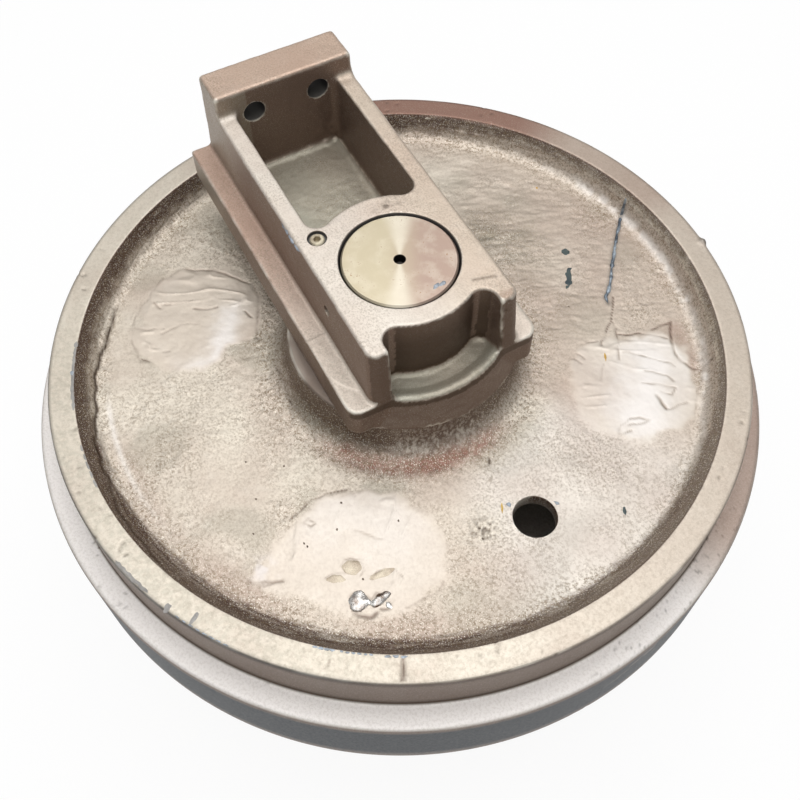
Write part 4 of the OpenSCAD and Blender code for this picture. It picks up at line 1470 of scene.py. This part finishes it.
@dataclass
class BracketCasting:
    """One yoke bracket, upper side, as a signed distance field; the lower one mirrors it.

    Lengths are in millimetres. The shaft runs along Z through the origin, and the yoke
    end points along +X. The space is the box that is searched for the surface, in cells
    of the size grid.
    """

    front_x: float = -86.5
    end_x: float = 265.7
    rail_half_w: float = 92.5
    rail_z: float = 150.6
    block_half_w: float = 70.0
    boss_z: float = 117.0
    top_z: float = 210.7
    pad_z: float = 233.7
    pad_x: float = 226.7
    front_lean: float = 7.0
    draft_deg: float = 1.4
    pocket_z: float = 135.7
    pocket_half_w: float = 53.0
    pocket_arc_r: float = 74.05
    recess_half_w: float = 52.0
    recess_arc_r: float = 70.05
    recess_z: float = 142.0
    lip_z: float = 147.0
    nook_r: float = 12.0
    boss_r: float = 112.0
    boss_lip_r: float = 100.0
    sleeve_z: float = 104.8
    bore_r: float = 50.05
    sleeve_r: float = 58.0
    seat_top_z: float = 131.5
    bolt_r: float = 11.0
    bolt_y: float = 33.0
    bolt_z: float = 206.0
    pin_r: float = 5.05
    pin_z: float = 182.7
    plug_r: float = 6.65
    plug_place: tuple[float, float] = (53.3, 51.3)
    burnt_corner: tuple[float, float, float] = (224.0, -44.0, 152.0)
    burnt_reach: tuple[float, float, float] = (12.0, 14.0, 16.0)
    space_low: tuple[float, float, float] = (-118.3, -97.1, 100.2)
    space_high: tuple[float, float, float] = (272.0, 97.9, 239.0)
    grid: float = 1.75

    def wrapped(self, x: Array, y: Array, arc_r: float, half_w: Array) -> Array:
        """Plan of a pocket that wraps round the shaft's collar.

        Args:
            x: Distance from the shaft towards the pocket.
            y: Distance from the middle plane.
            arc_r: Radius of the collar's wall.
            half_w: Half width of the pocket, at each height.

        Returns:
            Distance, below zero in the pocket. Between the directions from the nook's
            centre to the shaft and to the side wall it is the distance to the nook's
            circle, and elsewhere the larger of those to the side wall and to the collar.
        """
        side = np.abs(y)
        centre_y = half_w - self.nook_r
        centre_x = np.sqrt((arc_r + self.nook_r) ** 2 - centre_y**2)
        ux, uy = x - centre_x, side - centre_y
        in_nook = (ux <= 0) & (centre_y * ux - centre_x * uy <= 0)
        open_side = np.maximum(side - half_w, arc_r - np.hypot(x, y))
        return np.where(in_nook, np.hypot(ux, uy) - self.nook_r, open_side)

    def solid(self, x: Array, y: Array, z: Array) -> Array:
        """Signed distance to the bracket, below zero in the metal.

        Args:
            x: Distance from the shaft towards the yoke end.
            y: Distance from the middle plane.
            z: Height above the wheel's middle plane.

        Returns:
            Guide rails and block joined with a cove, the boss added in front, pocket and
            recess taken away with soft edges, and the head pad added behind with a
            fillet at its foot.
        """
        side, r = np.abs(y), np.hypot(x, y)
        draft = math.tan(math.radians(self.draft_deg))
        wall = side - self.block_half_w - (self.top_z - z) * draft
        lean = self.front_lean / (self.top_z - self.rail_z)
        front = self.front_x - x + np.maximum(z - self.rail_z, 0) * lean
        block = round_cross(round_cross(front, wall, 10), z - self.top_z, 3.5)
        plan = round_cross(self.front_x - x, side - self.rail_half_w, 13)
        rails = round_cross(plan, z - self.rail_z, 2.5)
        body = round_cross(round_union(rails, block, 4), self.front_x - x, 0.8)
        taper = (self.boss_r - self.boss_lip_r) / (self.lip_z - self.boss_z)
        cone = (r - self.boss_r + (z - self.boss_z) * taper) / math.hypot(1, taper)
        boss = np.maximum(np.maximum(cone, z - self.lip_z - 3), np.maximum(x, side - self.rail_half_w + 2))
        body = round_union(body, boss, 2.5)
        pocket_w = self.pocket_half_w - (self.top_z - z) * draft
        pocket = round_cross(self.wrapped(x, y, self.pocket_arc_r, pocket_w), self.pocket_z - z, 8)
        body = round_cross(body, -pocket, 2.2)
        floor = self.recess_z + (self.lip_z - self.recess_z) * smoothstep(85, 96, r)
        recess_plan = self.wrapped(-x, y, self.recess_arc_r, self.recess_half_w + 0 * z)
        recess = round_cross(recess_plan, (floor - z) * 0.9, 6)
        body = round_cross(body, -recess, 2.6)
        pad = round_cross(round_cross(self.pad_x - x, wall, 2.5), z - self.pad_z, 3.5)
        foot = 0.05 + 8.5 * np.maximum(smoothstep(158, 172, z), 1 - smoothstep(52, 62, side))
        body = round_union(body, pad, foot)
        body = np.where(z > self.rail_z + 8, np.maximum(body, wall), body)
        body = round_cross(body, x - self.end_x, 2.5)
        body = round_cross(body, self.boss_z - z, 1.2)
        sleeve = np.maximum(np.maximum(r - 78, self.sleeve_z - z), z - self.boss_z - 8)
        return np.minimum(body, sleeve)

    def skin(self, p: Array, side: Side) -> Array:
        """Height of the cast skin: a slow swell, sand grain and a burnt-on patch.

        Args:
            p: Positions on the upper bracket.
            side: Which bracket it is, so that the two differ.

        Returns:
            Height in millimetres. The pocket's walls are rougher than the outer faces,
            and lumps of burnt sand stand in the pocket's far corner.
        """
        seed = 60 if side is Side.UPPER else 80
        x, y, z = p.T
        in_pocket = (x > 60) * (np.abs(y) < 56) * (z < self.top_z - 4) * (x < self.pad_x + 2)
        in_recess = (x < -66) * (np.abs(y) < 54) * (z < self.top_z - 5) * (np.hypot(x, y) < 101)
        rough = 0.55 + 0.55 * in_pocket + 0.6 * in_recess
        corner = np.linalg.norm((p - np.array(self.burnt_corner)) / np.array(self.burnt_reach), axis=1)
        burnt = hill(corner, 1.0) * np.maximum(noise(p, 6.5, seed + 4), -0.2)
        swell = 0.35 * noise(p, 48, seed) + 0.18 * noise(p, 19, seed + 1)
        sand = 0.20 * noise(p, 7.5, seed + 2) + 0.20 * noise(p, 4.2, seed + 3)
        return swell + rough * sand + 2.2 * burnt

    def cutters(self) -> list[Object]:
        """Cutters of the machined holes.

        Returns:
            Closed solids: the bore with its lead-in, the seal seat, two bolt holes, the
            lock pin's hole and the oil plug's hole with its counterbore.
        """
        top, low, boss = self.top_z, self.sleeve_z - 4, self.boss_z - 1
        bore = ((self.bore_r, low), (self.bore_r, top - 7), (self.bore_r + 1.5, top - 4),
                (self.bore_r + 1.7, top - 0.8), (self.bore_r + 6.5, top + 4))
        seat = ((self.sleeve_r, low), (84, low), (84, boss), (75.3, boss), (70.8, self.seat_top_z),
                (self.sleeve_r, self.seat_top_z))
        bolt = tuple((self.bolt_r, at) for at in (0, 10, 14, 34, 41, 50))
        pin = ((self.pin_r, 0), (self.pin_r, 160))
        plug = ((self.plug_r, 196), (self.plug_r, top - 3), (self.plug_r + 1.6, top - 3),
                (self.plug_r + 1.6, top - 0.7), (self.plug_r + 2.95, top + 1.5))
        bolt_x = self.pad_x - 8
        return [
            turned_cutter("bore", bore, 192),
            turned_cutter("seat", seat, 192, closed=True),
            turned_cutter("left_bolt_hole", bolt, 72, (bolt_x, self.bolt_y, self.bolt_z), 0),
            turned_cutter("right_bolt_hole", bolt, 72, (bolt_x, -self.bolt_y, self.bolt_z), 0),
            turned_cutter("pin_hole", pin, 48, (0, -80, self.pin_z), 1),
            turned_cutter("plug_hole", plug, 72, (*self.plug_place, 0)),
        ]

    def machined(self, p: Array) -> Array:
        """Where the bracket is machined.

        Args:
            p: Positions on the upper bracket.

        Returns:
            One in the bore, bolt holes, lock pin hole, plug hole and seal seat.
        """
        x, y, z = p.T
        r, depth = np.hypot(x, y), self.top_z - z
        bore = (r < self.bore_r + 2.4) * (depth > 0.7) * (depth < 40)
        bolt = np.hypot(np.abs(y) - self.bolt_y, z - self.bolt_z) < self.bolt_r + 0.3
        bolt = bolt * (x > self.pad_x + 1.5) * (x < self.pad_x + 34)
        pin = (np.hypot(x, z - self.pin_z) < 4.9) * (np.abs(y) > 40)
        plug = (np.hypot(x - self.plug_place[0], y - self.plug_place[1]) < 9.3) * (depth > 0.4)
        seat = (r < 86) * (z < 134)
        return np.clip(0.0 + bore + bolt + pin + plug + seat, 0, 1)

    def mask(self, obj: Object, side: Side) -> None:
        """Store where the enamel gets painted shade, stains, edge wear or tints, and where a hole is painted
        near black as shade.

        Args:
            obj: The piece, whose mesh gets one number per corner point for each mask.
            side: Which bracket it is.
        """
        mesh = obj.data
        p, n = positions(mesh), normals(mesh)
        p[:, 2] *= side.value
        n[:, 2] *= side.value
        x, y, z = p.T
        r, depth, holes = np.hypot(x, y), self.top_z - z, self.machined(p)
        stands, upright = bulge(mesh, 1), 1 - np.maximum(n[:, 2], 0)
        # Painted shade: darker in hollows, on the pocket's and recess's walls, on the lobes' front faces and
        # the boss's wall; brown on upright walls; near black in the machined holes.
        cavity_shade = smoothstep(0.03, 0.2, -stands)
        edge = smoothstep(0.05, 0.22, stands) * smoothstep(-0.5, 0.4, noise(p, 16, 91))
        deep = (x > 60) * (x < self.pad_x + 3) * (np.abs(y) < 56) * smoothstep(0, 60, depth)
        front = (x < -60) * (np.abs(y) < 54) * smoothstep(0, 30, depth) * (z > self.recess_z - 3) * (r < 101)
        floor = np.maximum(deep * (z < self.pocket_z + 3), front * (z < self.lip_z + 2)) * (upright < 0.4)
        rail = (z < self.rail_z + 3) * (upright < 0.5) * (np.abs(y) > 60)
        pad = (z > self.pad_z - 6) * (upright < 0.5)
        top = (depth < 4) * (depth > -3) * (upright < 0.5)
        left_end = smoothstep(150, 240, x) * (y > 40) * (upright > 0.5)
        smudge = hill(np.hypot(x - 58.5, (y + 22) / 1.9), 5.5) * top * smoothstep(-0.3, 0.4, noise(p, 4, 93))
        dash = hill(line_distance(x, y, ((-48.8, -42.5), (-52, -54), (-54.3, -61.4))), 1.3) * top
        corner = hill(np.hypot(x + 84, y + 60), 16) * smoothstep(-0.2, 0.5, noise(p, 6, 94)) * (depth < 14)
        lobe_shade = (x < -60) * (n[:, 0] < -0.5) * (upright > 0.5) * (z > 140)
        boss_wall_shade = (x < 0) * (r > 98) * (z < 149) * (upright > 0.5)
        warm = 0.10 + 0.10 * noise(p, 40, 92) + 0.22 * smoothstep(20, -60, y) * top
        warm = np.maximum(warm, rail * (0.4 + 0.35 * smoothstep(-20, 150, x)) + 0.6 * pad)
        grime_and_shade = 0.35 * cavity_shade + 0.3 * (deep + front) * (upright > 0.4) + 0.85 * smudge
        grit = 0.55 + 0.35 * noise(p, 30, 95) + 0.3 * rail * smoothstep(40, -70, x)
        # The rail tops are painted pale as painted light, and the rails get lighter towards the front.
        set_masks(mesh, {
            "wall": (smoothstep(0.2, 0.72, upright) * 0.95) * (1 - 0.45 * left_end),
            "grime_and_shade": grime_and_shade + 0.6 * dash + 0.35 * corner + 0.55 * lobe_shade + 0.3 * boss_wall_shade,
            "wear_and_glint": 0.85 * edge * (1 - holes) + 0.35 * rail * smoothstep(60, -60, x),
            "turned": np.zeros(len(p)),
            "smear": np.full(len(p), 0.3),
            "pale": 0.3 * rail + 0.35 * top * smoothstep(-60, 30, y) + 0.05 * floor,
            "grit": grit * (1 - holes),
            "rosy": warm + 0.4 * corner,
            "slate": 0.75 * floor + 0.5 * left_end,
            "raw": 0.88 * holes,
        })

    def build(self) -> None:
        """Make both brackets, cut their machined holes and dress them."""
        enamel = BRACKET_ENAMEL.material()
        space = np.array(self.space_low), np.array(self.space_high)
        points, quads = surface_net(self.solid, *space, self.grid)
        slope = field_slope(self.solid, points)
        for side in Side:
            shape = points + self.skin(points, side)[:, None] * slope
            node = side.word + "_bracket"
            shape = keep_in_box(shape * np.array([1, 1, side.value]), node)
            piece = make_mesh(side.word + "_yoke_casting", shape, quads)
            cutters = self.cutters()
            if side is Side.LOWER:
                for cutter in cutters:
                    cutter.data.transform(MIRROR_Z)
                    cutter.data.flip_normals()
            cut(piece, cutters)
            self.mask(piece, side)
            finish_mesh(piece, 48)
            piece.data.materials.clear()
            piece.data.materials.append(enamel)
            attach(piece, "brackets")
            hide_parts(node)
            log.info("%s: %d faces", piece.name, len(piece.data.polygons))


MIRROR_Z = Matrix.Scale(-1, 4, (0, 0, 1))


# The marks on the enamel


@dataclass(frozen=True)
class Flake:
    """One small raised spot: a chip, a blister or a drop, seen from above as a ragged oval.

    Lengths are in millimetres and angles in degrees, counted from X.
    """

    place: tuple[float, float]
    half: tuple[float, float]
    turn_deg: float = 0.0
    rise: float = 0.5
    ragged: float = 0.25


def rim_arc(start_deg: float, stop_deg: float, radius: float, half: tuple[float, float], count: int,
            rise: float = 0.35) -> tuple[Flake, ...]:
    """Flakes in a row along a circle about the axis, each drawn out along it.

    Args:
        start_deg: Angle of the first flake, from X.
        stop_deg: Angle of the last one.
        radius: Radius of the circle.
        half: Half length and half width of each flake.
        count: How many there are.
        rise: Height of each.

    Returns:
        The flakes, evenly spaced.
    """
    angles = np.radians(np.linspace(start_deg, stop_deg, count))
    return tuple(Flake((radius * math.cos(a), radius * math.sin(a)), half, math.degrees(a) + 90, rise, 0.45)
                 for a in angles)


@dataclass
class SurfaceMarks:
    """Chips, spatter, blisters, crayon and the scraped line, as small pieces on the castings."""

    rings: tuple[float, ...] = (0.3, 0.6, 0.85, 1.0)
    columns: int = 22
    sink: float = 1.2
    bead_step: float = 0.8
    bead_r: float = 1.9
    bead_points: int = 10
    shaft_end_z: float = 210.0

    def block_ground(self, x: Array, y: Array) -> Array:
        """Height of the block's top, which falls away at its long edges."""
        return BracketCasting.top_z - 0.2 - 2.6 * smoothstep(66.5, 70.5, np.abs(y))

    def shaft_ground(self, x: Array, y: Array) -> Array:
        """Height of the shaft's end face, the same everywhere."""
        return np.full(x.shape, self.shaft_end_z)

    def flakes(self, name: str, flakes: Sequence[Flake], ground: Ground, seed: int) -> Object:
        """Make one piece of many flakes.

        Args:
            name: Name of the piece.
            flakes: The spots, each with its place and size.
            ground: Height of the surface that they lie on, for arrays of x and y.
            seed: Chooses the noise of the outlines and of the lumps.

        Returns:
            The piece. A point of a flake is its place plus a share of a ragged oval, at
            the ground's height plus the rise times the root of one less the share
            squared, with a lump of noise; the last ring is sunk into the ground.
        """
        angle = np.linspace(0, 2 * math.pi, self.columns, endpoint=False)
        share = np.array(self.rings + (1.0,))[:, None]
        points, quads, caps = [], [], []
        for number, flake in enumerate(flakes):
            circle = np.stack([np.cos(angle), np.sin(angle), np.full(self.columns, 7.0 * number)], -1)
            outline = 1 + flake.ragged * noise(circle * 1.6, 1.0, seed)
            turn = math.radians(flake.turn_deg)
            u, v = flake.half[0] * np.cos(angle) * outline, flake.half[1] * np.sin(angle) * outline
            x = flake.place[0] + share * (u * math.cos(turn) - v * math.sin(turn))
            y = flake.place[1] + share * (u * math.sin(turn) + v * math.cos(turn))
            base = ground(x.reshape(-1), y.reshape(-1)).reshape(x.shape)
            spread = np.stack([x, y, 0 * x], -1).reshape(-1, 3)
            lump = 1 + 0.5 * noise(spread, 2.4, seed + 1).reshape(x.shape)
            dome = flake.rise * np.sqrt(1 - (0.96 * share) ** 2) * lump
            z = base + dome
            z[-1] = base[-1] - self.sink
            first = number * x.size
            points.append(np.stack([x, y, z], -1).reshape(-1, 3))
            quads.append(grid_quads(len(share), self.columns, False) + first)
            caps += [first + np.arange(self.columns)[::-1], first + np.arange(x.size - self.columns, x.size)]
        return make_mesh(name, np.concatenate(points), np.concatenate(quads), caps)

    def bead(self, name: str, line: Line, ground: Ground) -> Object:
        """Make a lumpy bead along a line.

        Args:
            name: Name of the piece.
            line: Points of the line.
            ground: Height of the surface that it lies on.

        Returns:
            The piece: rings of points round the line, whose radius swells with noise and
            tapers at both ends, with their middles a little above the ground.
        """
        path = np.array(line, float)
        lengths = np.concatenate([[0], np.cumsum(np.linalg.norm(np.diff(path, axis=0), axis=1))])
        at = np.arange(0, lengths[-1], self.bead_step)
        along = np.stack([at, 0 * at, 0 * at], -1)
        x, y = (np.interp(at, lengths, path[:, k]) for k in (0, 1))
        x, y = x + 0.6 * noise(along, 7, 71), y + 0.4 * noise(along, 5, 72)
        way = np.gradient(np.stack([x, y], -1), axis=0)
        way /= np.linalg.norm(way, axis=1)[:, None]
        taper = np.sqrt(np.clip(np.minimum(at, at[-1] - at) / 3, 0.02, 1))
        radius = self.bead_r * taper * (0.85 + 0.45 * noise(along, 3.4, 73))
        angle = np.linspace(0, 2 * math.pi, self.bead_points, endpoint=False)
        over, up = np.outer(radius, np.cos(angle)), np.outer(radius, np.sin(angle)) * 0.7
        points = np.stack([x[:, None] - way[:, 1:] * over, y[:, None] + way[:, :1] * over,
                           (ground(x, y) + 0.1)[:, None] + up], -1).reshape(-1, 3)
        first = np.arange(self.bead_points)
        caps = [first[::-1], first + (len(at) - 1) * self.bead_points]
        return make_mesh(name, points, grid_quads(len(at), self.bead_points, False), caps)

    def build(self) -> None:
        """Make each group of marks and dress it."""
        web, block, shaft = WheelCasting().ground, self.block_ground, self.shaft_ground
        groups = (
            ("dark_chips", DARK_CHIP, "wheel", web, DARK_CHIPS),
            ("dust_specks", SPECK, "wheel", web, SPECKS),
            ("blue_rim_chips", BLUE_CHIP, "wheel", web, BLUE_CHIPS),
            ("grey_rim_chips", GREY_CHIP, "wheel", web, GREY_CHIPS),
            ("weld_spatter", SLAG, "wheel", web, SPATTER),
            ("enamel_blisters", BLISTER, "wheel", web, BLISTERS),
            ("crayon_marks", CRAYON, "wheel", web, CRAYON_MARKS),
            ("block_edge_chips", BLUE_CHIP, "brackets", block, EDGE_CHIPS),
            ("shaft_chips", BLUE_CHIP, "brackets", shaft, SHAFT_CHIPS),
        )
        for seed, (name, finish, part, ground, flakes) in enumerate(groups):
            self.dress(self.flakes(name, flakes, ground, 100 + 3 * seed), finish, part)
        self.dress(self.bead("scraped_line", GOUGE, web), GOUGE_STEEL, "wheel")

    def dress(self, piece: Object, finish: PlainMetal, part: str) -> None:
        """Shade a piece, give it its finish and let it ride with its part.

        Args:
            piece: The piece.
            finish: Its finish, made once and then shared.
            part: The body that it rides on.
        """
        finish_mesh(piece, 60)
        piece.data.materials.append(bpy.data.materials.get(finish.name) or finish.material())
        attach(piece, part)
        log.info("%s: %d faces", piece.name, len(piece.data.polygons))


DARK_CHIPS = (
    Flake((28.5, -207.4), (5.2, 4.2), 60, 0.3, 0.35),
    Flake((7.3, -198.2), (3.0, 1.6), 118, 0.3, 0.4),
    Flake((0.5, -192.8), (8.0, 3.4), 150, 0.3, 0.4),
    Flake((-6.0, -188.0), (5.4, 3.0), 145, 0.3, 0.4),
    Flake((-11.1, -183.5), (2.6, 1.4), 120, 0.3, 0.4),
    Flake((-239.9, -91.7), (1.6, 4.4), 60, 0.3, 0.3),
)
SPECKS = tuple(Flake(place, (1.1, 0.8), 0, 0.4, 0.4) for place in (
    (-117.1, 121.4), (-155.5, 85.6), (-137.7, 135.8), (-139.6, 164.8), (-187.9, 136.7), (-107.2, 200.3),
    (-32.4, -170.9), (-136.0, 166.0), (-204.0, 30.0), (-60.0, 150.0), (-78.0, 185.0), (-40.0, 178.0)))
BLUE_CHIPS = (rim_arc(139.0, 141.6, 302.7, (2.2, 1.0), 4) + rim_arc(143.0, 147.4, 302.5, (1.5, 0.8), 6)
              + rim_arc(149.8, 152.2, 303.0, (2.4, 1.1), 3) + rim_arc(118.6, 126.8, 323.6, (2.2, 0.6), 8)
              + (Flake((107.9, 283.3), (2.6, 1.7), 159, 0.3, 0.4),
                 Flake((-187.6, -6.0), (2.4, 1.8), 0, 0.8, 0.4),
                 Flake((-205.5, -44.0), (2.4, 1.5), 30, 0.6, 0.4)))
GREY_CHIPS = (rim_arc(63.1, 75.8, 302.6, (5.0, 1.5), 9, 0.2) + rim_arc(84.6, 92.0, 302.4, (4.0, 1.0), 5, 0.2)
              + rim_arc(106.2, 111.8, 322.4, (4.6, 1.6), 6, 0.2)
              + (Flake((-144.0, 288.4), (3.4, 2.8), 117, 0.2, 0.4),
                 Flake((-162.0, 272.4), (5.2, 2.0), 121, 0.2, 0.3)))
SPATTER = (
    Flake((-203.3, 148.3), (9.0, 7.0), 62, 2.4, 0.4), Flake((-207.4, 142.0), (3.4, 3.0), 40, 1.6, 0.4),
    Flake((-210.6, 133.6), (9.4, 5.6), 100, 2.6, 0.45), Flake((-218.4, 128.6), (3.2, 2.4), 0, 1.2, 0.4),
)
BLISTERS = (
    Flake((-174.3, 140.0), (9.2, 7.4), 60, 0.9, 0.2), Flake((-177.2, 156.2), (9.4, 4.0), 62, 0.5, 0.35),
    Flake((-191.2, 120.7), (10.6, 3.4), 84, 0.5, 0.3),
)
CRAYON_MARKS = (
    Flake((-98.8, -168.6), (4.6, 0.9), 150, 0.25, 0.4), Flake((117.9, -229.9), (1.4, 1.0), 0, 0.3, 0.3),
    Flake((-187.0, 0.5), (0.9, 4.6), 60, 0.25, 0.4),
)
EDGE_CHIPS = (
    Flake((98, 69.0), (3.0, 0.9), 0, 0.5, 0.4), Flake((83, 69.2), (5.0, 1.2), 0, 0.5, 0.4),
    Flake((75, 69.2), (3.6, 1.6), 8, 0.7, 0.4), Flake((65, 69.4), (5.0, 1.8), 0, 0.8, 0.4),
    Flake((54, 69.6), (4.6, 1.2), 0, 0.6, 0.4),
)
SHAFT_CHIPS = (
    Flake((-39.4, -13.0), (4.2, 2.3), 110, 0.5, 0.4), Flake((-40.0, -19.0), (3.2, 2.0), 100, 0.5, 0.4),
)


# The turned pieces that keep their shape


@dataclass
class TurnedPieces:
    """Shaft, plugs, pins, bushings and seals: nodes that keep their shape and get a finish."""

    finishes: dict[str, PlainMetal | FacedShaft] = field(default_factory=lambda: {
        "shaft_ring": RUBBER, "toric_ring": RUBBER, "seal_ring": SEAL_IRON, "bushing": BRONZE,
        "oil_plug": PLUG_STEEL, "lock_pin": PIN_STEEL, "idler_shaft": SHAFT_STEEL,
    })

    def build(self) -> None:
        """Give each node the finish that its name calls for."""
        materials = {finish.name: finish.material() for finish in self.finishes.values()}
        for name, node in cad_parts.items():
            found = [finish for word, finish in self.finishes.items() if name.endswith(word)]
            if found:
                node.data.materials.clear()
                node.data.materials.append(materials[found[0].name])
                log.info("%s: %s", name, found[0].name)


# Studio


@dataclass(frozen=True)
class SoftBox:
    """One square lamp: width and place in metres, power in watts.

    It faces the object where aimed is set, and straight down where it isn't.
    """

    name: str
    width: float
    power: float
    place: tuple[float, float, float]
    aimed: bool = False

    def build(self) -> None:
        """Add the lamp to the scene."""
        data = bpy.data.lights.new(self.name, "AREA")
        data.shape = "RECTANGLE"
        data.size, data.size_y = self.width, self.width
        data.energy = self.power
        lamp = bpy.data.objects.new(self.name, data)
        lamp.location = self.place
        if self.aimed:
            lamp.rotation_euler = (Vector((0, 0, 0)) - lamp.location).to_track_quat("-Z", "Y").to_euler()
        bpy.context.scene.collection.objects.link(lamp)


@dataclass
class Studio:
    """Pale floor, soft light and the camera at the photograph's viewing angle.

    Floor and camera are placed in millimetres; the camera's turn is in degrees and its
    lens in millimetres, for a sensor 36 mm wide.
    """

    floor_z: float = -233.7
    floor_reach: float = 6000.0
    floor_t: float = 20.0
    lamps: tuple[SoftBox, ...] = (
        SoftBox("soft_box", 2.8, 38, (0.55, -0.3, 2.8)),
        SoftBox("near_fill", 2.0, 11, (-1.5, 0.8, 2.3), aimed=True),
    )
    camera_place: tuple[float, float, float] = (-476.60, 255.24, 854.20)
    camera_turn_deg: tuple[float, float, float] = (31.9296, 0.1383, -118.3603)
    lens: float = 44.61

    def camera(self) -> None:
        """Add the camera and make it the scene's own."""
        data = bpy.data.cameras.new("photo_camera")
        data.lens = self.lens
        data.sensor_width = 36
        data.clip_start = 0.01
        camera = bpy.data.objects.new("photo_camera", data)
        camera.location = Vector(self.camera_place) * MM
        camera.rotation_euler = [math.radians(a) for a in self.camera_turn_deg]
        bpy.context.scene.collection.objects.link(camera)
        bpy.context.scene.camera = camera

    def floor(self) -> None:
        """Add the floor, white to the eye and in reflections, with the object's soft shadow."""
        corners = np.array([(-1, -1), (1, -1), (1, 1), (-1, 1)]) * self.floor_reach
        top = np.column_stack([corners, np.full(4, self.floor_z)])
        points = np.concatenate([top - np.array([0, 0, self.floor_t]), top])
        sides = [[k, (k + 1) % 4, (k + 1) % 4 + 4, k + 4] for k in range(4)]
        quads = np.array([[0, 3, 2, 1], [4, 5, 6, 7]] + sides)
        floor = make_mesh("studio_floor", points, quads)
        material, tree = new_material("matt_white_paper")
        matt = add(tree, "BsdfDiffuse", {"Color": linear("ffffff")})
        glow = add(tree, "Emission", {"Color": (1, 1, 1, 1), "Strength": 1.0})
        seen, shone, glossed = (add(tree, "LightPath", out=ray) for ray in (0, 3, 6))
        mirrored = add(tree, "Math", {0: shone, 1: glossed}, operation="MAXIMUM", use_clamp=True)
        either = add(tree, "Math", {0: seen, 1: mirrored}, operation="MAXIMUM", use_clamp=True)
        share = add(tree, "Math", {0: either, 1: 0.9}, **PRODUCT)
        add(tree, "OutputMaterial", {0: add(tree, "MixShader", {0: share, 1: matt, 2: glow})})
        floor.data.materials.append(material)

    def lights(self) -> None:
        """Add the lamps and a sky that is brightest overhead and plain white to the eye."""
        for lamp in self.lamps:
            lamp.build()
        world = bpy.data.worlds.new("studio_sky")
        world.use_nodes = True
        tree = world.node_tree
        tree.nodes.clear()
        up = add(tree, "SeparateXYZ", {0: add(tree, "TexCoord", out=0)}, out=2)
        level = add(tree, "MapRange", {0: up, 1: 0.5, 2: 0.96, 3: 0.2, 4: 1.05}, **EASED)
        sky = add(tree, "Background", {0: (1, 1, 1, 1), 1: level})
        white = add(tree, "Background", {0: (1, 1, 1, 1), 1: 1.0})
        seen = add(tree, "LightPath", out=0)
        add(tree, "OutputWorld", {0: add(tree, "MixShader", {0: seen, 1: sky, 2: white})})
        bpy.context.scene.world = world

    def build(self) -> None:
        """Set up camera, floor and lights, and the plain view transform."""
        self.camera()
        self.floor()
        self.lights()
        bpy.context.scene.view_settings.view_transform = "Standard"


def main() -> None:
    """Build the studio and every piece in order."""
    logging.basicConfig(level=logging.INFO, format="%(message)s")
    Studio().build()
    WheelCasting().build()
    BracketCasting().build()
    SurfaceMarks().build()
    TurnedPieces().build()


if __name__ == "__main__":
    main()
